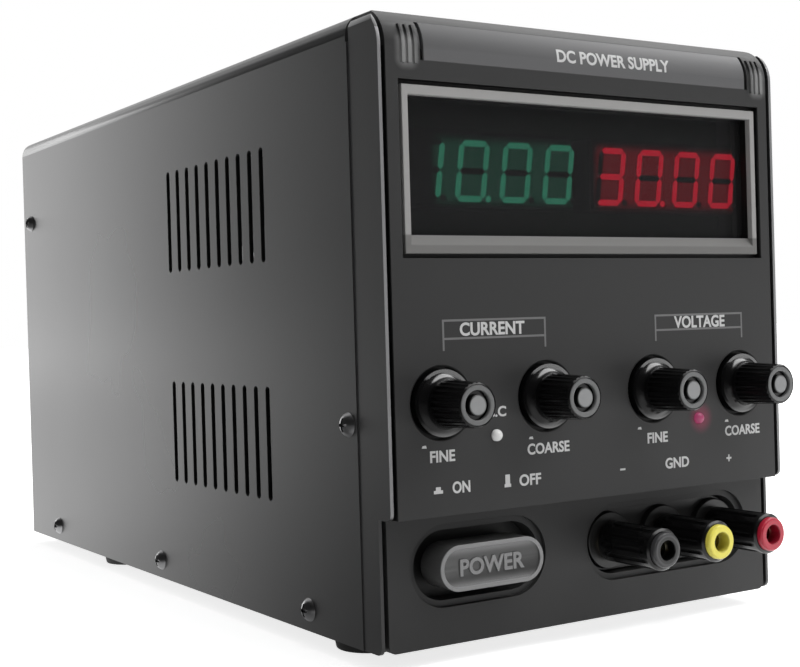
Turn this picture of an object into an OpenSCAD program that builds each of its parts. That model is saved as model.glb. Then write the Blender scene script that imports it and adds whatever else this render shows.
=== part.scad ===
// Bench laboratory power supply: folded sheet case, moulded front, two readouts, four control
// knobs, push power switch, three binding posts, and at the rear a fan and a fused mains inlet.
// Millimetres. +Z is up and the front faces -Y. The origin is on the floor, under the middle of
// the whole length. Depths along Y are counted inwards from the face of the upper front panel.

/* [Case] */
// Width of the sheet case
body_w = 131; // [130:1:160]
// Height of the case without its feet
body_h = 154; // [150:1:180]
// Depth of the case behind the upper front face
case_d = 269.4; // [255:0.1:320]
// Height of the rubber feet
foot_h = 4.5; // [3:0.1:8]
// Diameter of a foot where it meets the case
foot_dia = 20; // [16:0.5:22]
// Distance of a foot's centre from the side of the case
foot_inset = 14.3; // [11:0.1:20]
// Depth of the front feet
foot_front_d = 34; // [30:1:60]
// Depth of the rear feet
foot_rear_d = 201; // [150:1:230]
// Thickness of the case sheet
sheet_t = 1.2; // [0.8:0.1:1.5]
// Outer radius of the folded top edges
bend_r = 5.5; // [3:0.1:7]
// Clearance between sheets that lie on each other
sheet_gap = 0.1; // [0.05:0.05:0.2]
// Radius of the lower front corners of the case sides
sheet_r = 2; // [1:0.1:4]
// How far the strip along the front edge of the sides is pressed in
seam_in = 0.3; // [0.1:0.1:0.5]

/* [Vents] */
// Slots in one group
slot_count = 10; // [4:1:12]
// Width of a slot
slot_w = 2.5; // [1.5:0.1:4]
// Length of a slot
slot_l = 31; // [20:0.5:34]
// Distance from one slot to the next
slot_pitch = 7.05; // [5:0.05:8]
// Depth of the first slot
slot_first_d = 60.8; // [40:0.1:80]
// Height of the middle of the lower group above the case bottom
slot_low_v = 47.3; // [40:0.1:52]
// Height of the middle of the upper group above the case bottom
slot_high_v = 111.8; // [95:0.1:120]

/* [Front outline] */
// Radius of the rounded brow along the top of the panel
brow_r = 10; // [6:0.5:12]
// Gap between the panel and the case sheet
panel_gap = 1.2; // [0.8:0.1:1.6]
// Wall of the moulded panel
panel_t = 2.5; // [2:0.1:3]
// Depth of the panel's side walls and of its top
panel_d = 13; // [12.5:0.1:16]
// How far the lower field lies behind the upper one
step_d = 5.6; // [4:0.1:6]
// Height of the step above the case bottom
step_h = 32.5; // [32:0.5:36]
// Radius of the lower corners
panel_r = 2; // [1:0.5:4]

/* [Header] */
// Distance of the header strip's left end from the side of the case
strip_left = 13.2; // [12:0.1:20]
// Distance of the strip's right end from the side of the case
strip_right = 10.7; // [10.4:0.1:20]
// Height of the strip's lower edge below the case top
strip_drop = 12.8; // [11:0.1:14]
// Distance of the strip's upper edge below the case top
strip_top = 3.4; // [2:0.1:5]
// Thickness of the strip
strip_t = 0.8; // [0.5:0.1:1.2]
// Width of the groove at each end of the strip
strip_groove = 1; // [0.5:0.1:1.5]
// Ribs at each end of the header
rib_count = 3; // [1:1:3]
// Distance from one rib to the next
rib_pitch = 1.8; // [1.5:0.1:2]
// Width of a rib
rib_w = 1; // [0.6:0.1:1.2]
// How far a rib stands out
rib_out = 0.6; // [0.3:0.1:0.8]
// Distance of the first rib from the end of the strip
rib_first = 2.4; // [2:0.1:2.6]

/* [Display] */
// Distance of the light frame from each side of the case
bezel_side = 6.9; // [6.4:0.1:11]
// Height of the light frame
bezel_h = 40.1; // [36:0.1:42]
// Distance of the frame's top below the case top
bezel_drop = 18.6; // [18:0.1:22]
// Thickness of the frame
bezel_t = 1.8; // [1.2:0.1:2.2]
// How far the frame lies below the panel face
bezel_sink = 0.4; // [0.2:0.1:0.8]
// Groove around the frame
bezel_gap = 1.1; // [0.6:0.1:1.4]
// Width of the frame's side bars
bar_side = 1.75; // [1.2:0.05:2.5]
// Height of the frame's top bar
bar_top = 2.4; // [1.5:0.1:3]
// Height of the flat lip at the bottom of the frame
bar_lip = 2.1; // [1:0.1:2.5]
// Height of the slope above that lip
bar_sill = 2.5; // [1:0.1:3]
// Depth of the dark reveal between the frame and the window
reveal_d = 2; // [1.5:0.1:4]
// Thickness of the window
window_t = 1.5; // [1:0.1:2]
// Margin by which the window laps behind its opening
window_lap = 2; // [1:0.1:2.5]
// Space between a readout and the side of the opening
readout_side = 1.45; // [0.5:0.05:4]
// Space between each readout and the middle
readout_mid = 3; // [1:0.1:5]
// Height of a readout
readout_h = 19; // [16:0.5:21]
// Thickness of a readout
readout_t = 8; // [6:0.5:9]
// Thickness of the circuit boards
board_t = 1.6; // [1:0.1:2]

/* [Knobs] */
// Distance of the outer knobs from the side of the case
knob_side = 15.6; // [15:0.1:18.5]
// Distance between the two knobs of a pair
knob_pair = 31.9; // [27:0.1:33]
// Height of the knobs above the case bottom
knob_v = 59.6; // [58:0.1:64]
// How far a knob stands out from the panel
knob_out = 14.9; // [14:0.1:18]
// Diameter of the knob's skirt
skirt_dia = 16.2; // [16:0.1:17.2]
// Height of the skirt's rim above the panel
skirt_rim = 1.1; // [0.8:0.1:1.5]
// Radius of the hollow between skirt and grip
skirt_cove = 2.1; // [1.5:0.1:2.3]
// Diameter of the grip at its foot
grip_dia = 11.4; // [10.6:0.1:12]
// Diameter of the grip at its end
grip_tip_dia = 10.6; // [10.4:0.1:11]
// Flutes around the grip
flute_count = 24; // [12:1:30]
// Radius of a flute
flute_r = 0.45; // [0.3:0.05:0.5]
// Outer diameter of the light ring in the knob's end
cap_dia = 9.6; // [9:0.1:9.8]
// Width of that ring
cap_ring = 1.3; // [0.8:0.1:1.5]
// Diameter of the light centre
cap_dot_dia = 5; // [4:0.1:5.4]
// Thickness of the ring and the centre
cap_t = 1.2; // [0.8:0.1:1.4]
// Diameter of the dish that the knob sits in
dish_dia = 17.6; // [17:0.1:20]
// Depth of the dish
dish_d = 1.5; // [1.2:0.1:1.8]
// Width of the bevel around the dish
dish_bevel = 0.35; // [0.2:0.05:0.8]
// Diameter of the potentiometer shaft
shaft_dia = 6; // [4:0.5:6]
// Diameter of the threaded bushing
bush_dia = 8; // [7.5:0.1:8.4]
// Diameter of the potentiometer can
pot_dia = 16.5; // [15:0.5:17]
// Length of the can
pot_l = 7; // [6:0.5:8]
// Radial running clearance of shafts and threads
run_gap = 0.05; // [0.03:0.01:0.08]
// Diameter of the indicator lamps
lamp_dia = 3; // [3:0.5:4]
// Height of the lamps above the case bottom
lamp_v = 50.8; // [50:0.1:53]

/* [Wells] */
// Height of both wells above the case bottom
well_v = 19.5; // [18:0.1:20]
// Height of the two wells
well_h = 20.4; // [18:0.1:21]
// Distance of the switch well from the left side of the case
switch_side = 8.9; // [8.6:0.1:10]
// Distance of the terminal well from the right side of the case
post_side = 9.1; // [8.6:0.1:10]
// Width of the field between the wells
well_web = 13.2; // [11:0.1:14]
// Width of the terminal well
post_well_w = 58.6; // [57:0.1:60]
// Width of the ledge inside the rim of a well
well_ledge = 1.6; // [1:0.1:2]
// Depth of that ledge
ledge_d = 1.2; // [0.8:0.1:1.6]
// Depth of a well behind the lower field
well_d = 6.4; // [6:0.1:6.8]

/* [Power switch] */
// Space between each end of the button and the end of its well
button_side = 5.1; // [4:0.1:8]
// Height of the button
button_h = 11.2; // [9:0.1:12]
// How far the button stands out from the upper face when it is in
button_out = 0; // [0:0.1:1]
// Length of the button
button_l = 9; // [8:0.1:10]
// Rim around the dished face
button_rim = 1; // [0.6:0.1:1.4]
// Depth of the dish in the face
button_dish = 0.6; // [0.3:0.1:0.8]
// Width of the button's stem
stem_w = 8; // [6:0.1:9]
// Height of the stem
stem_h = 5; // [4.5:0.1:6]
// Sliding clearance around the stem
stem_gap = 0.3; // [0.2:0.05:0.5]
// Travel of the button from in to out
button_travel = 3.5; // [2:0.1:4]
// Width of the switch housing
switch_w = 22; // [18:0.5:26]
// Height of the switch housing
switch_h = 14; // [12:0.5:15]
// Length of the switch housing
switch_l = 24; // [20:0.5:28]
// Width of each mounting ear of the switch
switch_ear = 5; // [4:0.1:5.4]

/* [Binding posts] */
// Distance from one post to the next
post_pitch = 19.05; // [17.5:0.05:19.05]
// How far a post stands out from the upper face
post_out = 14.4; // [13.6:0.1:14.9]
// Diameter of the threaded stud
stud_dia = 6; // [5.6:0.1:6.4]
// Diameter of the plug socket in the stud
socket_dia = 4.04; // [4:0.01:4.1]
// Depth of the plug socket
socket_l = 13.5; // [12:0.1:14]
// Diameter of the black cap
cap_body_dia = 10.8; // [10.6:0.1:12]
// Diameter of the coloured end ring
ring_dia = 9; // [8.6:0.1:9.2]
// Hole in the coloured ring
ring_hole = 5; // [4.6:0.1:5.6]
// Length of the coloured ring
ring_l = 3.9; // [3:0.1:4.5]
// How far the ring stands out from the cap
ring_out = 1.5; // [1:0.1:2]
// Diameter of the insulating collar under a cap
collar_dia = 15; // [14:0.1:16]
// Thickness of the metal washer on the stud
washer_t = 1; // [0.6:0.1:1.2]
// Width across the flats of the stud nuts
nut_w = 10; // [9:0.5:11]

/* [Rear] */
// Side of the square fan
fan_size = 80; // [76:1:80]
// Thickness of the fan
fan_t = 25; // [20:1:25]
// Distance of the fan's screw holes from its edge
fan_hole = 4.25; // [4.25:0.25:5]
// Height of the fan's centre above the case bottom
fan_v = 96; // [94:0.5:104]
// Diameter of the fan hub
hub_dia = 33; // [28:1:36]
// Fan blades
blade_count = 7; // [5:1:9]
// Diameter of the guard wire
wire_dia = 1.6; // [1.2:0.1:2]
// Radius of the guard's innermost ring
guard_inner_r = 13; // [11:0.5:15]
// Distance of the guard's outermost ring from the fan's edge
guard_edge = 2.4; // [2:0.1:4]
// How far the rear panel lies inside the case edge
rear_inset = 0.6; // [0.2:0.1:1]
// Distance of the mains inlet's middle from the right side of the case
inlet_side = 31.5; // [27:0.5:35]
// Height of the mains inlet above the case bottom
inlet_v = 27; // [25:0.5:30]
// Distance of the voltage selector's middle from the left side of the case
selector_side = 33.5; // [27:0.5:37]
// Height of the voltage selector above the case bottom
selector_v = 27; // [20:0.5:35]
// Travel of the selector's slider
selector_travel = 5; // [3:0.1:6]

/* [Inside] */
// Space between the main circuit board and the case on each side
main_side = 8.2; // [6:0.1:14]
// Length of the main circuit board
main_l = 184; // [150:1:190]
// Depth of the board's front edge
main_front_d = 46; // [42:1:50]
// Height of the pillars under the board
pillar_h = 8; // [6:0.5:10]
// Diameter of a case screw's head
screw_head = 6.2; // [5:0.1:7]
// Diameter of a case screw's shank
screw_dia = 3; // [2.5:0.1:3.2]

/* [Hidden] */
$fn = 48;
eps = 0.01;
over = 1;
control_names = ["current_fine", "current_coarse", "voltage_fine", "voltage_coarse"];
post_names = ["negative", "ground", "positive"];

// Overall places
screw_head_h = 2;
rear_out = wire_dia + screw_head_h - rear_inset;
front_out = max(knob_out, post_out);
length_all = front_out + case_d + rear_out;
y_face = -length_all / 2 + front_out;
z0 = foot_h;
inner_x = body_w / 2 - sheet_t - sheet_gap;
panel_x = body_w / 2 - sheet_t - panel_gap;
roof_front_d = panel_d + panel_gap;
relief_w = 1;
relief_h = 7;
// The pressed strip ends inside the slit that relieves the fold
seam_d = roof_front_d - relief_w / 2;
// The tongue of the front panel reaches this far under the roof
tongue_l = 8;
rear_d = case_d - rear_inset;
main_w = 2 * (inner_x - main_side);
pillar_inset = 4;
pillar_dia = 7;

// Header places
strip_w = body_w - strip_left - strip_right;
strip_x = (strip_left - strip_right) / 2;
rib_over = 1;

// Display places, counted from the case top
bezel_w = body_w - 2 * bezel_side;
bezel_mid = body_h - bezel_drop - bezel_h / 2;
opening_w = bezel_w - 2 * bar_side;
opening_top = body_h - bezel_drop - bar_top;
opening_low = body_h - bezel_drop - bezel_h + bar_lip + bar_sill;
opening_mid = (opening_top + opening_low) / 2;
opening_h = opening_top - opening_low;
pocket_d = bezel_sink + bezel_t;
window_d = pocket_d + reveal_d;
readout_w = opening_w / 2 - readout_side - readout_mid;
readout_x = readout_mid + readout_w / 2;
readout_step = 1;
pocket_wall = 1.4;
readout_d = window_d + window_t + 0.2;
display_board_d = readout_d + readout_t;
display_board_h = opening_h + 2 * window_lap + 13;
boss_x = opening_w / 2 - 4;
boss_dia = 6;
boss_v = opening_h / 2 + window_lap + 3.6;

// Knob and potentiometer places
knob_outer_x = body_w / 2 - knob_side;
knob_inner_x = knob_outer_x - knob_pair;
lamp_x = (knob_outer_x + knob_inner_x) / 2;
knob_places = [-knob_outer_x, -knob_inner_x, knob_inner_x, knob_outer_x];
dish_pad = dish_dia + 4;
pad_d = dish_d + panel_t;
pot_nut_w = 10;
pot_nut_t = 2;
knob_float = 0.3;
knob_bore_l = 10;
shaft_out = 9.7;
shaft_in = 3.7;
shaft_cut_l = 5;
shaft_cut_w = 1;
lamp_flange_t = 1;
lamp_leg_x = 0.8;
lamp_leg_t = 0.6;
control_board_d = pad_d + pot_l;
control_board_w = 2 * knob_outer_x + 17;
control_board_h = 30;

// Well places
switch_well_w = body_w - switch_side - well_web - post_well_w - post_side;
switch_x = -body_w / 2 + switch_side + switch_well_w / 2;
post_x = body_w / 2 - post_side - post_well_w / 2;
button_w = switch_well_w - 2 * button_side;
floor_d = step_d + well_d;
floor_t = 2;
tub_t = 1.6;
plate_t = 2.5;
plate_gap = 0.3;
collar_t = 2;
collar_d = floor_d - plate_t - collar_t;
washer_d = collar_d - washer_t;
cap_back_d = washer_d - 0.2;
cap_front_d = -post_out + ring_out;
ring_seat_d = -post_out + ring_l + 0.1;
stud_front_d = ring_seat_d + 0.2;
stud_tail = 10;
stud_back_d = floor_d + floor_t + stud_tail;
stud_flange = 1.5;
cross_hole_dia = 1.8;
stem_back_d = floor_d + floor_t + 1;
plunger_w = 4;
plunger_h = 3;
plunger_grip = 3;
plunger_l = 12;
switch_tab_w = 4;
switch_tab_t = 0.8;
switch_tab_l = 6;
switch_tab_x = 6;
switch_tab_v = 4;

// Ties between the case, the chassis and the screws
flange_h = 14;
ear_d = panel_d + sheet_gap;
ear_top_v = 62;
post_ear_x = inner_x - 5.4;
rear_flange = 12;
side_low_v = 5.6;
side_low_d = [40.7, 138.5, case_d - 31.6];
side_front = [roof_front_d + 3.8, 54.5];
side_rear = [case_d - 8.3, 121.6];
panel_boss_v = step_h + 6.5;
panel_boss_x = panel_x - panel_t - 5;
panel_boss_dia = 7;
angle_l = 10;

// Rear fittings
inlet_x = body_w / 2 - inlet_side;
selector_x = -body_w / 2 + selector_side;
inlet_flange_w = 31;
inlet_flange_h = 37;
inlet_flange_t = 2;
inlet_body_w = 27;
inlet_body_h = 32;
inlet_depth = 20;
socket_w = 24.6;
socket_h = 16.4;
socket_depth = 16;
socket_v = inlet_v + 6;
socket_cut = 5;
pin_tail = 6;
pin_in = 2.5;
pin_spread = 7;
pin_w = 2;
pin_h = 4;
pin_drop = 2.2;
drawer_w = 21.6;
drawer_h = 6.4;
drawer_l = 17.5;
drawer_v = inlet_v - 10.2;
drawer_gap = 0.2;
drawer_lip = 1.5;
drawer_lip_v = 1;
fuse_dia = 5.2;
fuse_l = 20;
fuse_cap_l = 5;
fuse_gap = 0.2;
fuse_d = rear_d - 9;
fuse_floor = 0.6;
selector_w = 22;
selector_h = 12;
slider_w = 6;
slider_h = 5.6;
slider_depth = 4;
slider_gap = 0.3;
slider_out = 0.6;
selector_plate_t = 1.5;
selector_plate_edge = 2.5;
selector_depth = 11;
fan_pitch = fan_size - 2 * fan_hole;
fan_d1 = rear_d - sheet_t;
fan_d0 = fan_d1 - fan_t;
duct_dia = fan_size - 3.6;
duct_wall_dia = fan_size - 0.6;
rear_hole_dia = fan_size - 4;
fan_flange_t = 3.5;
fan_screw_hole = 4.3;
strut_t = 3;
strut_w = 4;
motor_dia = hub_dia - 8;
motor_l = 9;
bearing_dia = 8;
bearing_l = 13;
axle_dia = 3;
guard_rings = 4;
guard_outer_r = fan_size / 2 - guard_edge;
guard_eye_r = 3.1;
guard_screw = 7;
guard_shank = 3.9;

// Large parts on the main board
board_top_v = sheet_t + pillar_h + board_t;
sink_edge = 6;
sink_l = 76;
sink_h = 66;
sink_plate = 3;
sink_fin_l = 13;
sink_fin_t = 1.6;
sink_fins = 8;
left_sink_d = main_front_d + 40;
right_sink_d = main_front_d + 56;
can_dia = 22;
can_h = 38;
can_x = 13;
can_back = 26;
core_w = 42;
core_t = 15;
core_h = 38;
core_limb = 6;
core_stand = 4;
core_d = main_front_d + 104;
coil_dia = 27;
bobbin_dia = 24;
choke_d = main_front_d + 48;
choke_ring_r = 14;
choke_core_r = 6;
choke_turns = 16;
choke_wire = 1.6;

ring_colours = ["black", "gold", "red"];

// Depth, width and height are turned into the part's own axes here.
module at(x, d, v) {
    translate([x, y_face + d, z0 + v]) children();
}

// A figure drawn in X and Z, from depth d0 to depth d1
module slab_y(d0, d1) {
    translate([0, y_face + d1, z0]) rotate([90, 0, 0]) linear_extrude(d1 - d0) children();
}

// A figure drawn in depth and height, from x0 to x1
module slab_x(x0, x1) {
    translate([x0, y_face, z0]) rotate([90, 0, 90]) linear_extrude(x1 - x0) children();
}

// A figure turned about an axis along Y: its height runs outwards, to -Y
module turned_out(x, v) {
    translate([x, y_face, z0 + v]) rotate([90, 0, 0]) children();
}

// A figure turned about an axis along Y: its height runs inwards, to +Y
module turned_in(x, v) {
    translate([x, y_face, z0 + v]) rotate([-90, 0, 0]) children();
}

module drill_y(x, v, dia, d0, d1) {
    turned_in(x, v) translate([0, 0, d0]) cylinder(d = dia, h = d1 - d0);
}

module box_at(x0, x1, d0, d1, v0, v1) {
    at(x0, d0, v0) cube([x1 - x0, d1 - d0, v1 - v0]);
}

module rounded(w, h, r) {
    square([w - 2 * r, h], center = true);
    square([w, h - 2 * r], center = true);
    for (sx = [-1, 1]) {
        for (sy = [-1, 1]) {
            translate([sx * (w / 2 - r), sy * (h / 2 - r)]) circle(r);
        }
    }
}

module stadium(w, h) {
    square([w - h, h], center = true);
    for (s = [-1, 1]) {
        translate([s * (w - h) / 2, 0]) circle(d = h);
    }
}

module hex(w) {
    circle(d = w / cos(30), $fn = 6);
}

// Side outline of the whole front: brow above, step below
module front_side(inset, back_d) {
    difference() {
        translate([inset, 0]) square([back_d - inset, body_h - inset]);
        translate([inset, body_h - brow_r]) {
            difference() {
                square([brow_r - inset, brow_r - inset + over]);
                translate([brow_r - inset, 0]) circle(brow_r - inset);
            }
        }
        translate([-over, -over]) square([step_d + inset + over, step_h + over + inset]);
    }
}

// Cuts a corner that points to the front and down to a radius
module low_corner(d, v) {
    difference() {
        translate([d - over, v - over]) square(sheet_r + over);
        translate([d + sheet_r, v + sheet_r]) circle(sheet_r);
    }
}

module case_side() {
    difference() {
        front_side(0, case_d);
        low_corner(0, step_h);
        low_corner(step_d, 0);
    }
}

// Front outline of the folded cover, open below
module arch(inset) {
    r = bend_r - inset;
    w = body_w - 2 * inset;
    h = body_h - inset;
    translate([-w / 2, -over]) square([w, h - r + over]);
    translate([-w / 2 + r, -over]) square([w - 2 * r, h + over]);
    for (s = [-1, 1]) {
        translate([s * (w / 2 - r), h - r]) circle(r);
    }
}

// What lies outside the cover's rounded upper edges, ahead of the roof
module fold_corners(d1) {
    slab_y(-over, d1) difference() {
        translate([-body_w, body_h - bend_r]) square([2 * body_w, bend_r + over]);
        arch(0);
    }
}

// Every point where a screw goes through the side of the case
side_points = concat([side_front, side_rear], [for (d = side_low_d) [d, side_low_v]]);

module side_holes(dia) {
    for (p = side_points) {
        at(-body_w, p[0], p[1]) rotate([0, 90, 0]) cylinder(d = dia, h = 2 * body_w);
    }
}

module slot_group(v) {
    for (i = [0:slot_count - 1]) {
        translate([slot_first_d + i * slot_pitch, v]) rotate(90) stadium(slot_l, slot_w);
    }
}

module top_cover() {
    color("dimgray") difference() {
        union() {
            for (s = [-1, 1]) {
                side_x = s > 0 ? body_w / 2 - sheet_t : -body_w / 2;
                slab_x(side_x, side_x + sheet_t) difference() {
                    case_side();
                    translate([roof_front_d, body_h - bend_r]) square([case_d, bend_r + over]);
                }
            }
            slab_y(roof_front_d, case_d) difference() {
                arch(0);
                arch(sheet_t);
                translate([-body_w, -2 * over]) square([2 * body_w, body_h - bend_r]);
            }
        }
        slab_x(-body_w, body_w) {
            slot_group(slot_low_v);
            slot_group(slot_high_v);
            translate([roof_front_d - relief_w, body_h - relief_h]) square([relief_w, relief_h + over]);
        }
        for (s = [-1, 1]) {
            cut_x = s > 0 ? body_w / 2 - seam_in : -body_w / 2 - over;
            box_at(cut_x, cut_x + seam_in + over, -over, seam_d, -over, body_h + over);
        }
        fold_corners(seam_d);
        side_holes(screw_dia + 0.4);
    }
}

// The angle that stands at each front corner of the tray and carries the front panel
module corner_angle() {
    box_at(post_ear_x, inner_x, ear_d, ear_d + sheet_t, 0, ear_top_v);
    box_at(panel_boss_x - 6, inner_x, ear_d, ear_d + sheet_t, panel_boss_v - 5, panel_boss_v + 5);
    box_at(inner_x - sheet_t, inner_x, ear_d, ear_d + angle_l, 0, ear_top_v);
}

module base_chassis() {
    base_back = rear_d - sheet_t - sheet_gap;
    color("gray") difference() {
        union() {
            box_at(-inner_x, inner_x, ear_d, base_back, 0, sheet_t);
            for (s = [0, 1]) {
                mirror([s, 0, 0]) {
                    box_at(inner_x - sheet_t, inner_x, ear_d, base_back, 0, flange_h);
                    corner_angle();
                }
            }
            for (x = [-main_w / 2 + pillar_inset, main_w / 2 - pillar_inset]) {
                for (d = [main_front_d + pillar_inset, main_front_d + main_l - pillar_inset]) {
                    at(x, d, 0) cylinder(d = pillar_dia, h = sheet_t + pillar_h);
                }
            }
        }
        side_holes(screw_dia + 0.1);
        for (s = [-1, 1]) {
            drill_y(s * panel_boss_x, panel_boss_v, screw_dia + 0.4, ear_d - over, ear_d + 3 * over);
            for (d = [foot_front_d, foot_rear_d]) {
                at(s * (body_w / 2 - foot_inset), d, -over) cylinder(d = screw_dia + 0.1, h = 4 * over);
            }
        }
    }
}

module rear_cut_outs() {
    translate([0, fan_v]) circle(d = rear_hole_dia);
    for (sx = [-1, 1]) {
        for (sz = [-1, 1]) {
            translate([sx * fan_pitch / 2, fan_v + sz * fan_pitch / 2]) circle(d = fan_screw_hole);
        }
    }
    translate([inlet_x, inlet_v]) square([inlet_body_w + 0.4, inlet_body_h + 0.4], center = true);
    translate([selector_x, selector_v]) square([selector_w + 0.4, selector_h + 0.4], center = true);
}

module rear_panel() {
    low = sheet_t + sheet_gap;
    high = body_h - sheet_t - sheet_gap;
    color("dimgray") difference() {
        union() {
            slab_y(rear_d - sheet_t, rear_d) difference() {
                translate([0, (low + high) / 2]) rounded(2 * inner_x, high - low, 1.5);
                rear_cut_outs();
            }
            for (s = [0, 1]) {
                mirror([s, 0, 0]) {
                    box_at(inner_x - sheet_t, inner_x, rear_d - rear_flange, rear_d - sheet_t + eps,
                           flange_h + 2, high - 4);
                }
            }
            box_at(-inner_x + 8, inner_x - 8, rear_d - rear_flange, rear_d - sheet_t + eps, low, low + sheet_t);
        }
        side_holes(screw_dia + 0.1);
    }
}

module panel_outline(inset) {
    r = panel_r - inset;
    corner = max(r, 0.5);
    w = 2 * (panel_x - inset);
    intersection() {
        union() {
            translate([-w / 2, inset + corner]) square([w, body_h - inset - corner + over]);
            translate([-w / 2 + corner, inset]) square([w - 2 * corner, body_h - inset]);
            for (s = [-1, 1]) {
                translate([s * (w / 2 - corner), inset + corner]) circle(corner);
            }
        }
        arch(0);
    }
}

module panel_block(inset, d0, d1) {
    intersection() {
        slab_y(d0, d1) panel_outline(inset);
        slab_x(-panel_x + inset, panel_x - inset) front_side(inset, d1);
    }
}

// A thin band that follows the face and the brow between two heights
module brow_band(inset0, inset1, v0, v1) {
    intersection() {
        difference() {
            front_side(inset0, panel_d);
            front_side(inset1, panel_d + over);
        }
        translate([-over, v0]) square([panel_d, v1 - v0]);
    }
}

module header_ribs() {
    rib_low = body_h - strip_drop - rib_over;
    rib_high = body_h - strip_top - rib_over;
    for (s = [-1, 1]) {
        for (i = [0:rib_count - 1]) {
            x = strip_x + s * (strip_w / 2 + rib_first + i * rib_pitch);
            slab_x(x - rib_w / 2, x + rib_w / 2) brow_band(-rib_out, over, rib_low, rib_high);
        }
    }
}

// The rim, the ledge and the deep part of a well
module well_cut(x, w) {
    slab_y(step_d - over, step_d + ledge_d) translate([x, well_v]) stadium(w, well_h);
    slab_y(step_d, floor_d) translate([x, well_v]) {
        stadium(w - 2 * well_ledge, well_h - 2 * well_ledge);
    }
}

module well_tub(x, w) {
    slab_y(step_d + over, floor_d + floor_t) translate([x, well_v]) {
        stadium(w - 2 * well_ledge + 2 * tub_t, well_h - 2 * well_ledge + 2 * tub_t);
    }
}

module post_holes(dia, d0, d1) {
    for (i = [-1:1]) {
        drill_y(post_x + i * post_pitch, well_v, dia, d0, d1);
    }
}

module front_panel() {
    pad_h = bezel_h + 2 * (bezel_gap + pocket_wall);
    tongue_high = body_h - sheet_t - sheet_gap;
    color("dimgray") difference() {
        union() {
            difference() {
                panel_block(0, 0, panel_d);
                panel_block(panel_t, -over, panel_d + over);
            }
            box_at(-panel_x + 8, panel_x - 8, panel_d - over, roof_front_d + tongue_l,
                   body_h - panel_t, tongue_high);
            box_at(-panel_x + over, panel_x - over, over, window_d,
                   bezel_mid - pad_h / 2, bezel_mid + pad_h / 2);
            for (x = knob_places) {
                drill_y(x, knob_v, dish_pad, over, pad_d);
            }
            well_tub(switch_x, switch_well_w);
            well_tub(post_x, post_well_w);
            for (sx = [-1, 1]) {
                drill_y(sx * panel_boss_x, panel_boss_v, panel_boss_dia, over, panel_d);
                for (sv = [-1, 1]) {
                    drill_y(sx * boss_x, opening_mid + sv * boss_v, boss_dia, over, display_board_d);
                }
            }
            header_ribs();
        }
        slab_x(strip_x - strip_w / 2 - strip_groove, strip_x + strip_w / 2 + strip_groove) {
            brow_band(-over, strip_t, body_h - strip_drop, body_h - strip_top);
        }
        slab_y(-over, pocket_d) translate([0, bezel_mid]) {
            square([bezel_w + 2 * bezel_gap, bezel_h + 2 * bezel_gap], center = true);
        }
        slab_y(-over, window_d + over) translate([0, opening_mid]) {
            square([opening_w, opening_h], center = true);
        }
        for (x = knob_places) {
            drill_y(x, knob_v, dish_dia, -over, dish_d);
            turned_in(x, knob_v) cylinder(d1 = dish_dia + 2 * dish_bevel, d2 = dish_dia, h = dish_bevel);
            drill_y(x, knob_v, bush_dia + 0.2, -over, pad_d + over);
        }
        for (s = [-1, 1]) {
            drill_y(s * lamp_x, lamp_v, lamp_dia + 0.2, -over, panel_t + over);
            drill_y(s * panel_boss_x, panel_boss_v, screw_dia - 0.4, panel_t + over, panel_d + over);
        }
        well_cut(switch_x, switch_well_w);
        well_cut(post_x, post_well_w);
        slab_y(floor_d - over, floor_d + floor_t + over) translate([switch_x, well_v]) {
            square([stem_w + 2 * stem_gap, stem_h + 2 * stem_gap], center = true);
        }
        post_holes(stud_dia + 0.4, floor_d - over, floor_d + floor_t + over);
    }
}

module header_strip() {
    color("gray") slab_x(strip_x - strip_w / 2, strip_x + strip_w / 2) {
        brow_band(0, strip_t, body_h - strip_drop, body_h - strip_top);
    }
}

// The light frame: flat bars at the top and sides, a sloping sill with a lip at the bottom
module display_frame() {
    low = body_h - bezel_drop - bezel_h;
    color("darkgray") difference() {
        slab_y(bezel_sink, pocket_d) translate([0, bezel_mid]) square([bezel_w, bezel_h], center = true);
        slab_x(-opening_w / 2, opening_w / 2) polygon([
            [bezel_sink - over, low + bar_lip],
            [bezel_sink, low + bar_lip],
            [pocket_d, opening_low],
            [pocket_d + over, opening_low],
            [pocket_d + over, opening_top],
            [bezel_sink - over, opening_top]
        ]);
    }
}

module display_window() {
    color("black") slab_y(window_d, window_d + window_t) translate([0, opening_mid]) {
        square([opening_w + 2 * window_lap, opening_h + 2 * window_lap], center = true);
    }
}

// A four-digit module: a plain block with a step around its face and its row of legs
module readout(x) {
    slab_y(readout_d, readout_d + readout_step) translate([x, opening_mid]) {
        square([readout_w - readout_step, readout_h - readout_step], center = true);
    }
    slab_y(readout_d + readout_step, display_board_d) translate([x, opening_mid]) {
        square([readout_w, readout_h], center = true);
    }
}

module current_readout() {
    color("seagreen") readout(-readout_x);
}

module voltage_readout() {
    color("firebrick") readout(readout_x);
}

module display_board() {
    color("darkgreen") slab_y(display_board_d, display_board_d + board_t) translate([0, opening_mid]) {
        square([opening_w, display_board_h], center = true);
    }
}

module control_board() {
    color("darkgreen") slab_y(control_board_d, control_board_d + board_t) translate([0, knob_v]) {
        square([control_board_w, control_board_h], center = true);
    }
}

// A round lamp with its flange behind the panel and two legs down to the board
module lamp(x) {
    turned_out(x, lamp_v) sphere(d = lamp_dia);
    drill_y(x, lamp_v, lamp_dia, 0, panel_t + lamp_flange_t);
    drill_y(x, lamp_v, lamp_dia + 0.8, panel_t, panel_t + lamp_flange_t);
    for (s = [-1, 1]) {
        slab_y(panel_t + lamp_flange_t - eps, control_board_d) translate([x + s * lamp_leg_x, lamp_v]) {
            square(lamp_leg_t, center = true);
        }
    }
}

module cc_lamp() {
    color("whitesmoke") lamp(-lamp_x);
}

module cv_lamp() {
    color("red") lamp(lamp_x);
}

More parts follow.
